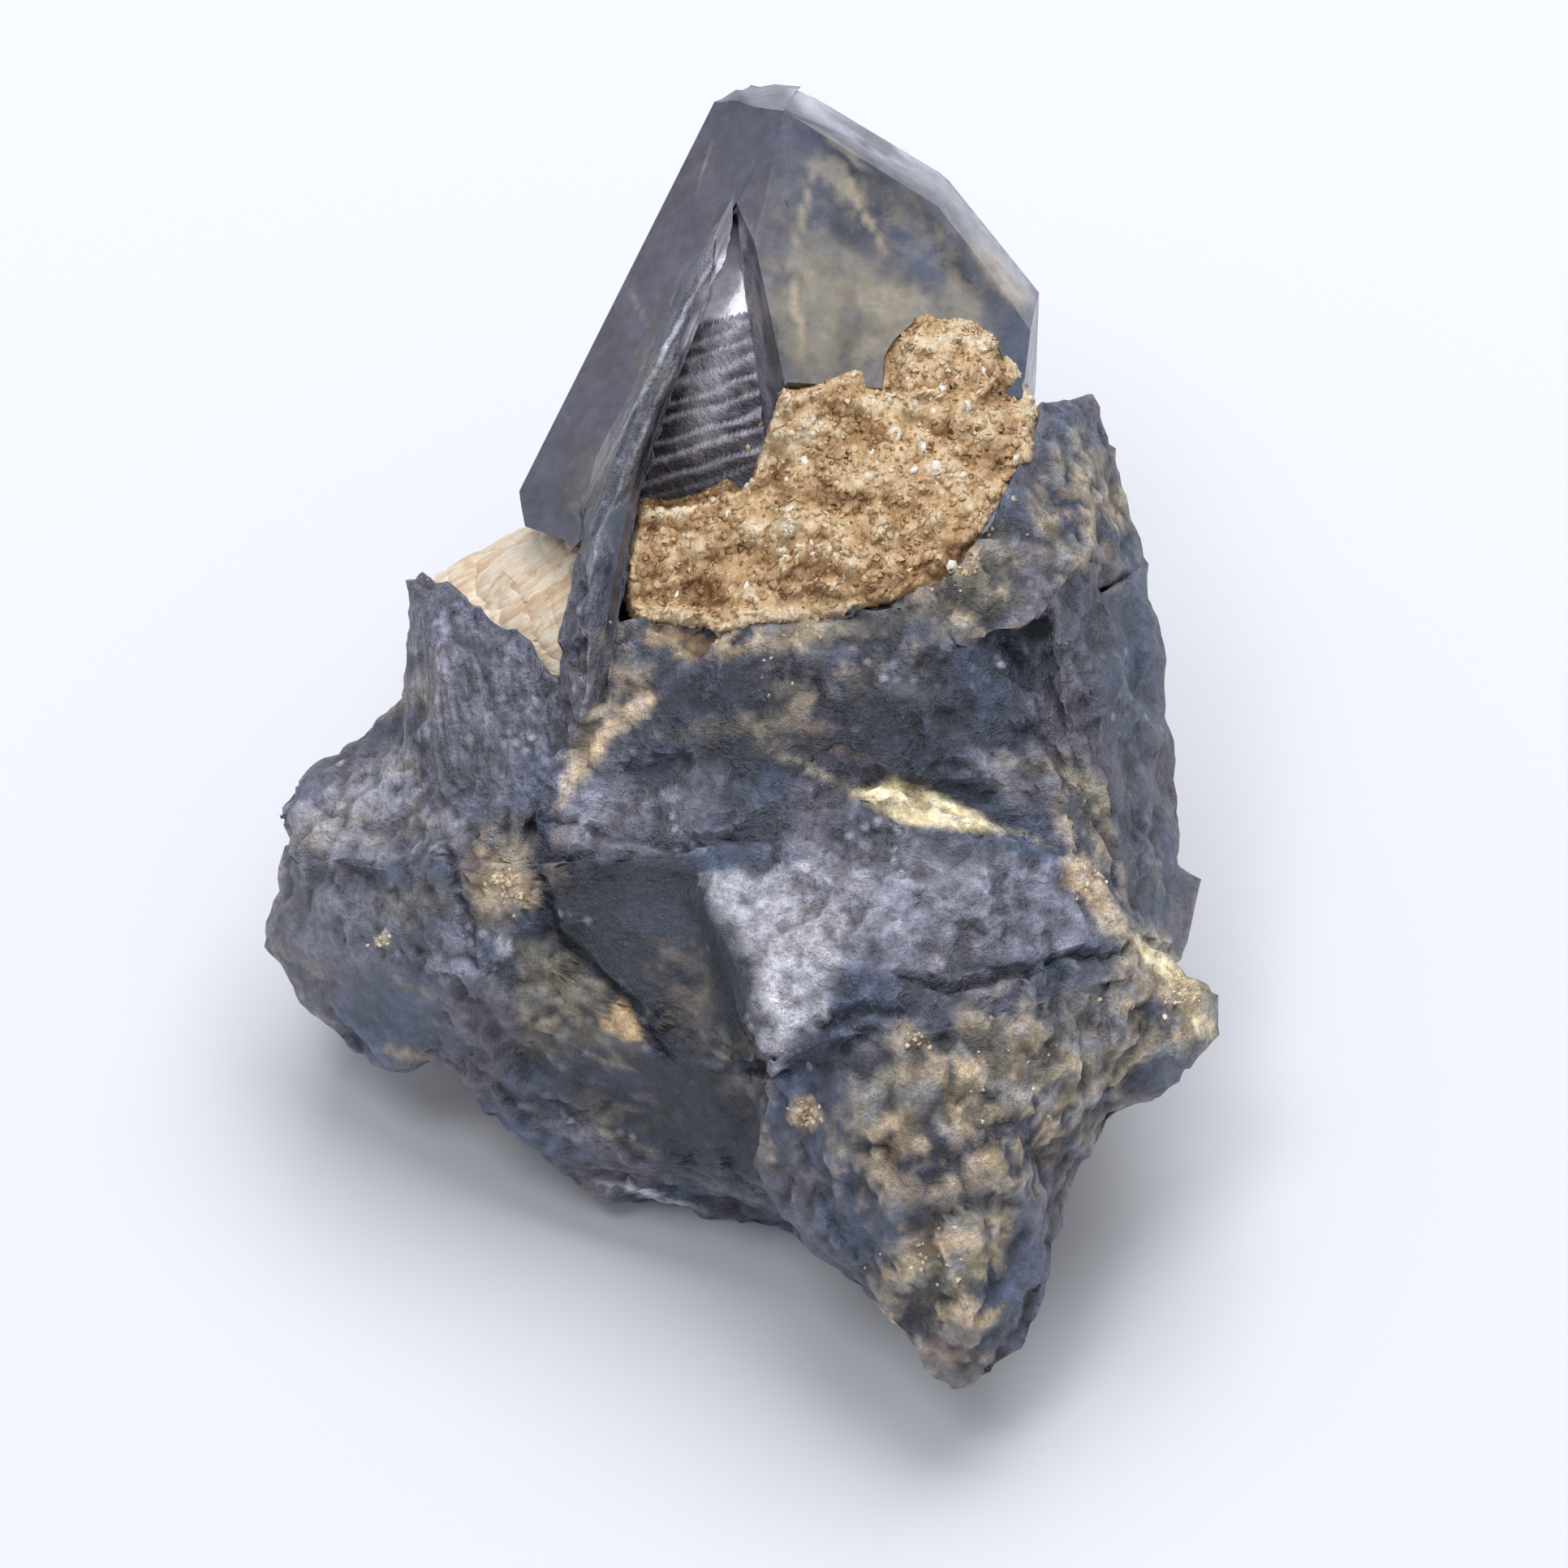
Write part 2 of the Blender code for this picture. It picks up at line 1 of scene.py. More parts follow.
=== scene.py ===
"""Looks of the cassiterite specimen: hackly ore and crystal faces, mica flakes and feldspar.

Most places are in face coordinates, in millimetres: x to the right and y up across the stone's
display face, and z out of it, as the camera sees it. to_frame() and to_face() change between
them and the frame's metres.
"""

from math import cos, pi, radians, sin

import bpy
import numpy as np
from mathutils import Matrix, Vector, noise
from mathutils.bvhtree import BVHTree


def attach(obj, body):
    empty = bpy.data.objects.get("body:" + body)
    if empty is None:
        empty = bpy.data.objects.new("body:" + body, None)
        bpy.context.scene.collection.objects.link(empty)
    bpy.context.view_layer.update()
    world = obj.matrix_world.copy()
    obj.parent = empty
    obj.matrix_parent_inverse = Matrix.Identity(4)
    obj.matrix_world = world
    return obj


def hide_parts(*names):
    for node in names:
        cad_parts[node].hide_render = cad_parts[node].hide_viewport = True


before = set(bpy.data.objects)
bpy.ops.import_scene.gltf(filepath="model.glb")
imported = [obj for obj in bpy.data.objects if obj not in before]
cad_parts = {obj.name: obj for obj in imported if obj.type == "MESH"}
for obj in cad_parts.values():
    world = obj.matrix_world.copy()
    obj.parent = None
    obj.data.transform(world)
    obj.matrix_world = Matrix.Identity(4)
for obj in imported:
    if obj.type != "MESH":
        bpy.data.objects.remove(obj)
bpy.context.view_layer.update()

# Where the display face lies, as in the part's source
MM = 0.001
LEAN = radians(40)
SHIFT = np.array([1.97, 0.51, 12.3])
TIP_BACK = np.array([[1, 0, 0], [0, cos(LEAN), -sin(LEAN)], [0, sin(LEAN), cos(LEAN)]])

# The camera: a long lens that looks straight at the display face
VIEW_WIDTH = 67.62  # of the stone's plane, across the picture, in millimetres
CAMERA_DISTANCE = 751.0
SENSOR = 36.0

rng = np.random.default_rng(7)


def srgb(red, green, blue):
    """A colour on the 0 to 255 scale of a picture, as linear light."""
    levels = np.array([red, green, blue]) / 255
    return np.where(levels <= 0.04045, levels / 12.92, ((levels + 0.055) / 1.055) ** 2.4)


def to_frame(points):
    return (np.asarray(points) @ TIP_BACK.T + SHIFT) * MM


def to_face(points):
    return (np.asarray(points) / MM - SHIFT) @ TIP_BACK


def unit(vectors):
    return vectors / np.maximum(np.linalg.norm(vectors, axis=-1, keepdims=True), 1e-12)


def smoothstep(low, high, values):
    t = np.clip((values - low) / (high - low), 0, 1)
    return t * t * (3 - 2 * t)


# Meshes as arrays: points (n, 3) in face millimetres and faces (m, 3)


def mesh_arrays(mesh):
    mesh.calc_loop_triangles()
    points = np.empty(len(mesh.vertices) * 3)
    mesh.vertices.foreach_get("co", points)
    faces = np.empty(len(mesh.loop_triangles) * 3, int)
    mesh.loop_triangles.foreach_get("vertices", faces)
    return to_face(points.reshape(-1, 3)), faces.reshape(-1, 3)


def node_arrays(name):
    """A CAD node's mesh, with the points that its faces share made one."""
    points, faces = mesh_arrays(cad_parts[name].data)
    rounded = np.round(points, 4)
    _, first, place = np.unique(rounded, axis=0, return_index=True, return_inverse=True)
    faces = place.reshape(-1)[faces]
    return points[first], faces[(faces != np.roll(faces, -1, axis=1)).all(axis=1)]


def ray_tree(points, faces):
    return BVHTree.FromPolygons(points.tolist(), faces.tolist())


def edge_table(faces, size):
    """(edges as pairs, for each face the edges 0-1, 1-2 and 2-0)."""
    ends = np.sort(np.stack([faces, np.roll(faces, -1, axis=1)], axis=2), axis=2)
    keys, sides = np.unique(ends[..., 0] * size + ends[..., 1], return_inverse=True)
    return np.stack([keys // size, keys % size], axis=1), sides.reshape(-1, 3)


def refine(points, faces, limits):
    """Splits edges longer than their faces' limits: (points, faces, the face each came from)."""
    source = np.arange(len(faces))
    while True:
        edges, sides = edge_table(faces, len(points))
        limit = np.full(len(edges), np.inf)
        np.minimum.at(limit, sides.reshape(-1), np.repeat(limits[source], 3))
        ends = points[edges]
        long = np.linalg.norm(ends[:, 0] - ends[:, 1], axis=1) > limit
        if not long.any():
            return points, faces, source
        middle = np.full(len(edges), -1)
        middle[long] = len(points) + np.arange(long.sum())
        points = np.vstack([points, ends[long].mean(axis=1)])
        split = middle[sides]
        count = (split >= 0).sum(axis=1)
        pieces, origins = [faces[count == 0]], [source[count == 0]]
        for number in (1, 2, 3):
            chosen = count == number
            corner, mid, origin = faces[chosen], split[chosen], source[chosen]
            if not len(corner):
                continue
            if number == 1:
                turn = np.argmax(mid >= 0, axis=1)
            else:
                turn = (np.argmax(mid < 0, axis=1) + 1) % 3 if number == 2 else 0 * origin
            order = (np.arange(3) + turn[:, None]) % 3
            a, b, c = np.take_along_axis(corner, order, axis=1).T
            ab, bc, ca = np.take_along_axis(mid, order, axis=1).T
            if number == 1:
                made = [(a, ab, c), (ab, b, c)]
            elif number == 3:
                made = [(a, ab, ca), (ab, b, bc), (ca, bc, c), (ab, bc, ca)]
            else:
                near = np.linalg.norm(points[a] - points[bc], axis=1)
                near = near < np.linalg.norm(points[ab] - points[c], axis=1)
                made = [(ab, b, bc)]
                made += [(a, ab, np.where(near, bc, c)), (np.where(near, a, ab), bc, c)]
            pieces += [np.stack(corners, axis=1) for corners in made]
            origins += [origin] * len(made)
        faces, source = np.vstack(pieces), np.concatenate(origins)


def sums(places, values, size):
    """Adds up the values that go to each place."""
    if values.ndim == 1:
        return np.bincount(places, weights=values, minlength=size)
    return np.stack([sums(places, v, size) for v in values.T], axis=1)


def face_normals(points, faces):
    a, b, c = (points[faces[:, k]] for k in range(3))
    return np.cross(b - a, c - a)


def point_normals(points, faces):
    normals = face_normals(points, faces)
    return unit(sum(sums(faces[:, k], normals, len(points)) for k in range(3)))


def flat_regions(points, faces, smallest):
    """For each face, whether it lies in a flat region larger than smallest square millimetres."""
    normals = face_normals(points, faces)
    areas = np.linalg.norm(normals, axis=1) / 2
    normals = unit(normals)
    _, sides = edge_table(faces, len(points))
    order = np.argsort(sides.reshape(-1), kind="stable")
    owners = (order // 3).reshape(-1, 2)
    level = np.einsum("ij,ij->i", normals[owners[:, 0]], normals[owners[:, 1]]) > cos(radians(0.6))
    label = np.arange(len(faces))
    pairs = owners[level]
    while True:
        low = np.minimum(label[pairs[:, 0]], label[pairs[:, 1]])
        before = label.copy()
        np.minimum.at(label, pairs[:, 0], low)
        np.minimum.at(label, pairs[:, 1], low)
        label = label[label]
        if (label == before).all():
            break
    total = np.bincount(label, weights=areas, minlength=len(faces))
    return total[label] > smallest


def point_values(faces, values, size, start, combine):
    """A value for each point, from those of its faces."""
    result = np.full(size, start, float)
    for k in range(3):
        combine.at(result, faces[:, k], values)
    return result


def spread(values, faces, size, times):
    """Values smoothed over neighbouring points."""
    edges, _ = edge_table(faces, size)
    degree = np.maximum(np.bincount(edges.reshape(-1), minlength=size), 1)
    for _ in range(times):
        total = sums(edges[:, 0], values[edges[:, 1]], size)
        total += sums(edges[:, 1], values[edges[:, 0]], size)
        values = (total.T / degree).T
    return values


def hollowness(points, faces, times):
    """Above 0 in creases and pits, below 0 on edges, in millimetres."""
    normals = point_normals(points, faces)
    return np.einsum("ij,ij->i", spread(points, faces, len(points), times) - points, normals)


def fill_creases(points, faces, weight, rounds):
    """Moves the bottoms of creases outwards, until cracks between the lumps are shallow."""
    for _ in range(rounds):
        pull = spread(points, faces, len(points), 1) - points
        inward = np.einsum("ij,ij->i", pull, point_normals(points, faces)) > 0
        points = points + pull * (0.6 * weight * inward)[:, None]
    return points


def noise_at(points, size, offset=0):
    """Smooth noise from -1 to 1 with lumps of that size."""
    shift = Vector((offset, offset * 1.7, offset * 2.3))
    return np.array([noise.noise(Vector(p) / size + shift) for p in points])


def grains_at(points, size, offset=0):
    """Tilted facets about size across, as in a broken crystalline mass."""
    shift = Vector((offset, offset * 1.3, offset * 0.7))
    height = np.empty(len(points))
    for i, point in enumerate(points):
        place = Vector(point) / size + shift
        centre = noise.voronoi(place)[1][0]
        tilt = noise.cell_vector(centre * 37.7) - Vector((0.5, 0.5, 0.5))
        height[i] = (place - centre).dot(tilt) + 0.35 * (tilt.x + tilt.y)
    return height


def knobs_at(points, size, offset=0):
    """Round knobs about size across, from -0.5 between them to 0.5 on top."""
    shift = Vector((offset, offset * 1.3, offset * 0.7))
    nearest = [noise.voronoi(Vector(p) / size + shift)[0][0] for p in points]
    return 0.5 - 1.6 * np.array(nearest) ** 2


def add_object(name, data):
    obj = bpy.data.objects.new(name, data)
    bpy.context.scene.collection.objects.link(obj)
    return obj


def make_mesh(name, points, faces, attributes=(), sharp=None):
    """An object in the frame from face coordinates. attributes are (name, values) for points."""
    mesh = bpy.data.meshes.new(name)
    mesh.vertices.add(len(points))
    mesh.vertices.foreach_set("co", to_frame(points).astype(np.float32).reshape(-1))
    mesh.loops.add(len(faces) * 3)
    mesh.loops.foreach_set("vertex_index", faces.astype(np.int32).reshape(-1))
    mesh.polygons.add(len(faces))
    mesh.polygons.foreach_set("loop_start", np.arange(len(faces), dtype=np.int32) * 3)
    mesh.update(calc_edges=True)
    for title, values in attributes:
        if values.ndim == 2:
            layer = mesh.attributes.new(title, "FLOAT_COLOR", "POINT")
            colors = np.ones((len(points), 4), np.float32)
            colors[:, :3] = values
            layer.data.foreach_set("color", colors.reshape(-1))
        else:
            layer = mesh.attributes.new(title, "FLOAT", "POINT")
            layer.data.foreach_set("value", values.astype(np.float32))
    if sharp is not None:
        mesh.polygons.foreach_set("use_smooth", np.ones(len(faces), bool))
        mesh.set_sharp_from_angle(angle=sharp)
    return add_object(name, mesh)


# Materials


class Nodes:
    """A short way to write a material's nodes."""

    def __init__(self, name):
        self.material = bpy.data.materials.new(name)
        self.material.use_nodes = True
        self.tree = self.material.node_tree
        self.shader = self.tree.nodes["Principled BSDF"]
        place = self.add("TexCoord").outputs["Object"]
        self.millimetres = self.vector("SCALE", {0: place, "Scale": 1 / MM})

    def put(self, node, inputs):
        """inputs are sockets to link, or constants."""
        for key, value in inputs.items():
            if isinstance(value, bpy.types.NodeSocket):
                self.tree.links.new(value, node.inputs[key])
            else:
                node.inputs[key].default_value = value

    def add(self, kind, inputs=None, **settings):
        made = self.tree.nodes.new("ShaderNode" + kind)
        for key, value in settings.items():
            setattr(made, key, value)
        self.put(made, inputs or {})
        return made

    def vector(self, operation, inputs):
        return self.add("VectorMath", inputs, operation=operation).outputs[0]

    def math(self, operation, first, second, clamp=False):
        return self.add("Math", {0: first, 1: second}, operation=operation, use_clamp=clamp).outputs[0]

    def plus(self, first, second, clamp=False):
        return self.math("ADD", first, second, clamp)

    def times(self, first, second, clamp=False):
        return self.math("MULTIPLY", first, second, clamp)

    def attribute(self, name, output="Fac"):
        return self.add("Attribute", attribute_name=name).outputs[output]

    def noise(self, scale, detail=3, roughness=0.55, distortion=0, where=None):
        inputs = {"Vector": where or self.millimetres, "Scale": scale, "Detail": detail}
        inputs.update({"Roughness": roughness, "Distortion": distortion})
        return self.add("TexNoise", inputs).outputs["Fac"]

    def cells(self, scale, output="Color"):
        return self.add("TexVoronoi", {"Vector": self.millimetres, "Scale": scale}).outputs[output]

    def stretched(self, scales, turn):
        """Millimetres, turned and then scaled along each axis."""
        turned = self.add("Mapping", {"Vector": self.millimetres, "Rotation": turn})
        return self.vector("MULTIPLY", {0: turned.outputs["Vector"], 1: scales})

    def fibres(self, chosen, first, second):
        """Noise drawn out across the display face at the first angle, or at the second where chosen."""
        turns = [(-LEAN, 0, -radians(turn)) for turn in (first, second)]
        along, across = (self.stretched((0.22, 2.8, 2.8), turn) for turn in turns)
        places = self.add("Mix", {"Factor": chosen, "A": along, "B": across}, data_type="VECTOR")
        return self.noise(1, 3, 0.6, where=places.outputs["Result"])

    def ramp(self, value, stops):
        """stops are (position, level or colour)."""
        made = self.add("ValToRGB", {"Fac": value})
        elements = made.color_ramp.elements
        while len(elements) < len(stops):
            elements.new(0.5)
        for element, (position, level) in zip(elements, stops):
            element.position = position
            element.color = (*np.broadcast_to(level, 3), 1)
        return made.outputs["Color"]

    def mix(self, factor, first, second, blend="MIX"):
        inputs = {"Factor": factor}
        for key, value in [("A", first), ("B", second)]:
            inputs[key] = value if isinstance(value, bpy.types.NodeSocket) else (*value, 1)
        return self.add("Mix", inputs, data_type="RGBA", blend_type=blend).outputs["Result"]

    def glitter(self, cells, strength):
        """The surface normal, tilted at random in each cell."""
        centred = self.vector("SUBTRACT", {0: cells, 1: (0.5, 0.5, 0.5)})
        tilt = self.vector("SCALE", {0: centred, "Scale": strength})
        normal = self.add("NewGeometry").outputs["Normal"]
        return self.vector("NORMALIZE", {0: self.vector("ADD", {0: normal, 1: tilt})})

    def bump(self, height, distance, strength, normal):
        """distance is in millimetres."""
        inputs = {"Height": height, "Distance": distance * MM, "Strength": strength, "Normal": normal}
        return self.add("Bump", inputs).outputs["Normal"]

    def finish(self, color, roughness, normal, ior, specular=0.5):
        inputs = {"Base Color": color, "Roughness": roughness, "Normal": normal, "IOR": ior}
        self.put(self.shader, {**inputs, "Specular IOR Level": specular})
        return self.material


def ore_material():
    """Cassiterite: colour, polish and sparkle come with the mesh, and fine grain from here."""
    n = Nodes("cassiterite")
    names = ("polish", "coat", "sparkle", "blade", "horn", "gloss")
    polish, coat, sparkle, blade, horn, gloss = map(n.attribute, names)
    rough = n.math("SUBTRACT", 1, polish, clamp=True)
    broad = n.ramp(n.noise(0.6, 4, 0.65), [(0.3, 1.1), (0.7, 1.95)])
    fine = n.ramp(n.noise(1.7, 5, 0.7), [(0.34, 0.65), (0.5, 1.25), (0.68, 2)])
    threads = n.fibres(horn, 70, 101)
    threaded = n.math("MAXIMUM", blade, horn)
    color = n.mix(0.8, n.attribute("paint", "Color"), broad, "MULTIPLY")
    color = n.mix(n.plus(0.3, n.times(rough, 0.6)), color, fine, "MULTIPLY")
    color = n.mix(threaded, color, n.ramp(threads, [(0.36, 0.55), (0.64, 1.6)]), "MULTIPLY")
    stain = n.ramp(n.noise(0.75, 5, 0.72, 0.8), [(0.5, 0), (0.62, 1)])
    color = n.mix(n.times(stain, n.times(coat, 0.7)), color, srgb(150, 134, 106))
    # Painted highlights: soft pale spots on some grains stand in for glints, most where the sparkle is
    # high, and they are glossier too
    chosen = n.add("SeparateColor", {0: n.cells(1.6)})
    round_spots = n.ramp(n.cells(1.6, "Distance"), [(0.12, 1), (0.44, 0)])
    lit = n.ramp(n.plus(chosen.outputs[0], n.times(sparkle, 0.9)), [(0.86, 0), (1, 1)])
    lit = n.times(lit, n.times(sparkle, 1.7), clamp=True)
    lit = n.times(lit, n.times(round_spots, n.plus(chosen.outputs[1], 0.3)))
    color = n.mix(n.times(lit, 0.75), color, srgb(200, 204, 218))
    dull = n.ramp(n.noise(2, 4), [(0.3, 0.34), (0.7, 0.56)])
    smooth = n.ramp(n.noise(0.8, 6, 0.7), [(0.35, 0.16), (0.7, 0.4)])
    roughness = n.plus(n.mix(polish, dull, smooth), n.times(coat, 0.2), clamp=True)
    roughness = n.mix(lit, roughness, (0.25, 0.25, 0.25))
    roughness = n.times(roughness, n.math("SUBTRACT", 1, gloss))
    tilt = n.times(rough, n.plus(0.25, n.times(sparkle, 0.6)))
    height = n.times(n.noise(2.4, 4, 0.72), n.plus(rough, 0.02))
    height = n.plus(height, n.times(threads, n.times(threaded, 0.5)))
    specular = n.math("SUBTRACT", 0.45, n.times(coat, 0.2))
    normal = n.bump(height, 0.5, 1, n.glitter(n.cells(4.4), tilt))
    return n.finish(color, roughness, normal, 1.9, specular)


def mica_material(name, ground=False):
    """Golden flakes, or the crumbly ground between them."""
    n = Nodes(name)
    tint = n.attribute("tint")
    if ground:
        tint = n.plus(tint, n.times(n.math("SUBTRACT", n.noise(1.4, 6, 0.7), 0.5), 0.9))
    color = n.ramp(tint, [
        (0, srgb(142, 106, 68)), (0.25, srgb(190, 153, 108)), (0.5, srgb(222, 192, 150)),
        (0.75, srgb(238, 218, 186)), (1, srgb(252, 246, 232)),
    ])
    color = n.mix(0.5, color, n.ramp(n.noise(5), [(0.3, 0.8), (0.7, 1.15)]), "MULTIPLY")
    roughness = n.ramp(n.noise(2), [(0.3, 0.25), (0.7, 0.5)])
    normal = n.glitter(n.cells(3), 0.5 if ground else 0.2)
    return n.finish(color, roughness, n.bump(n.noise(7), 0.1, 0.7, normal), 1.58)


def feldspar_material():
    """Cream, with brown lines along the cleavage."""
    n = Nodes("feldspar")
    along = n.stretched((0.35, 2.2, 2.2), (-LEAN, 0, -radians(32)))
    streak = n.ramp(n.noise(0.8, 5, 0.65, 0.4, along), [(0.42, 0), (0.62, 1)])
    color = n.mix(streak, srgb(246, 232, 208), srgb(220, 188, 152))
    rusty = n.ramp(n.noise(0.7, 5, 0.7), [(0.56, 0), (0.7, 0.6)])
    color = n.mix(rusty, color, srgb(180, 136, 92))
    roughness = n.ramp(n.noise(1.5), [(0.3, 0.35), (0.7, 0.6)])
    normal = n.glitter(n.cells(1.4), 0.25)
    height = n.noise(1.4, 5, 0.6, 0.3, along)
    return n.finish(color, roughness, n.bump(height, 0.25, 0.7, normal), 1.53)


# The ore's paint, in face millimetres, on the side that faces the camera. A stroke is (colour, x, y,
# half length, half width, turn in degrees, strength).

SLATE = srgb(66, 69, 81)
INK = srgb(24, 29, 43)
VIOLET = srgb(76, 73, 84)
BLUE = srgb(56, 66, 86)
LILAC = srgb(130, 128, 140)
PALE = srgb(184, 183, 194)
OLIVE = srgb(94, 89, 76)
KHAKI = srgb(128, 121, 106)
TAN = srgb(166, 149, 126)
OCHRE = srgb(188, 154, 110)
ORANGE = srgb(186, 152, 110)
CREAM = srgb(234, 216, 170)
RUST = srgb(102, 80, 70)
CHALK = srgb(200, 204, 214)
BUFF = srgb(196, 173, 142)
HAZE = srgb(132, 137, 146)
HORN = srgb(91, 91, 103)
WHITE = srgb(216, 213, 222)

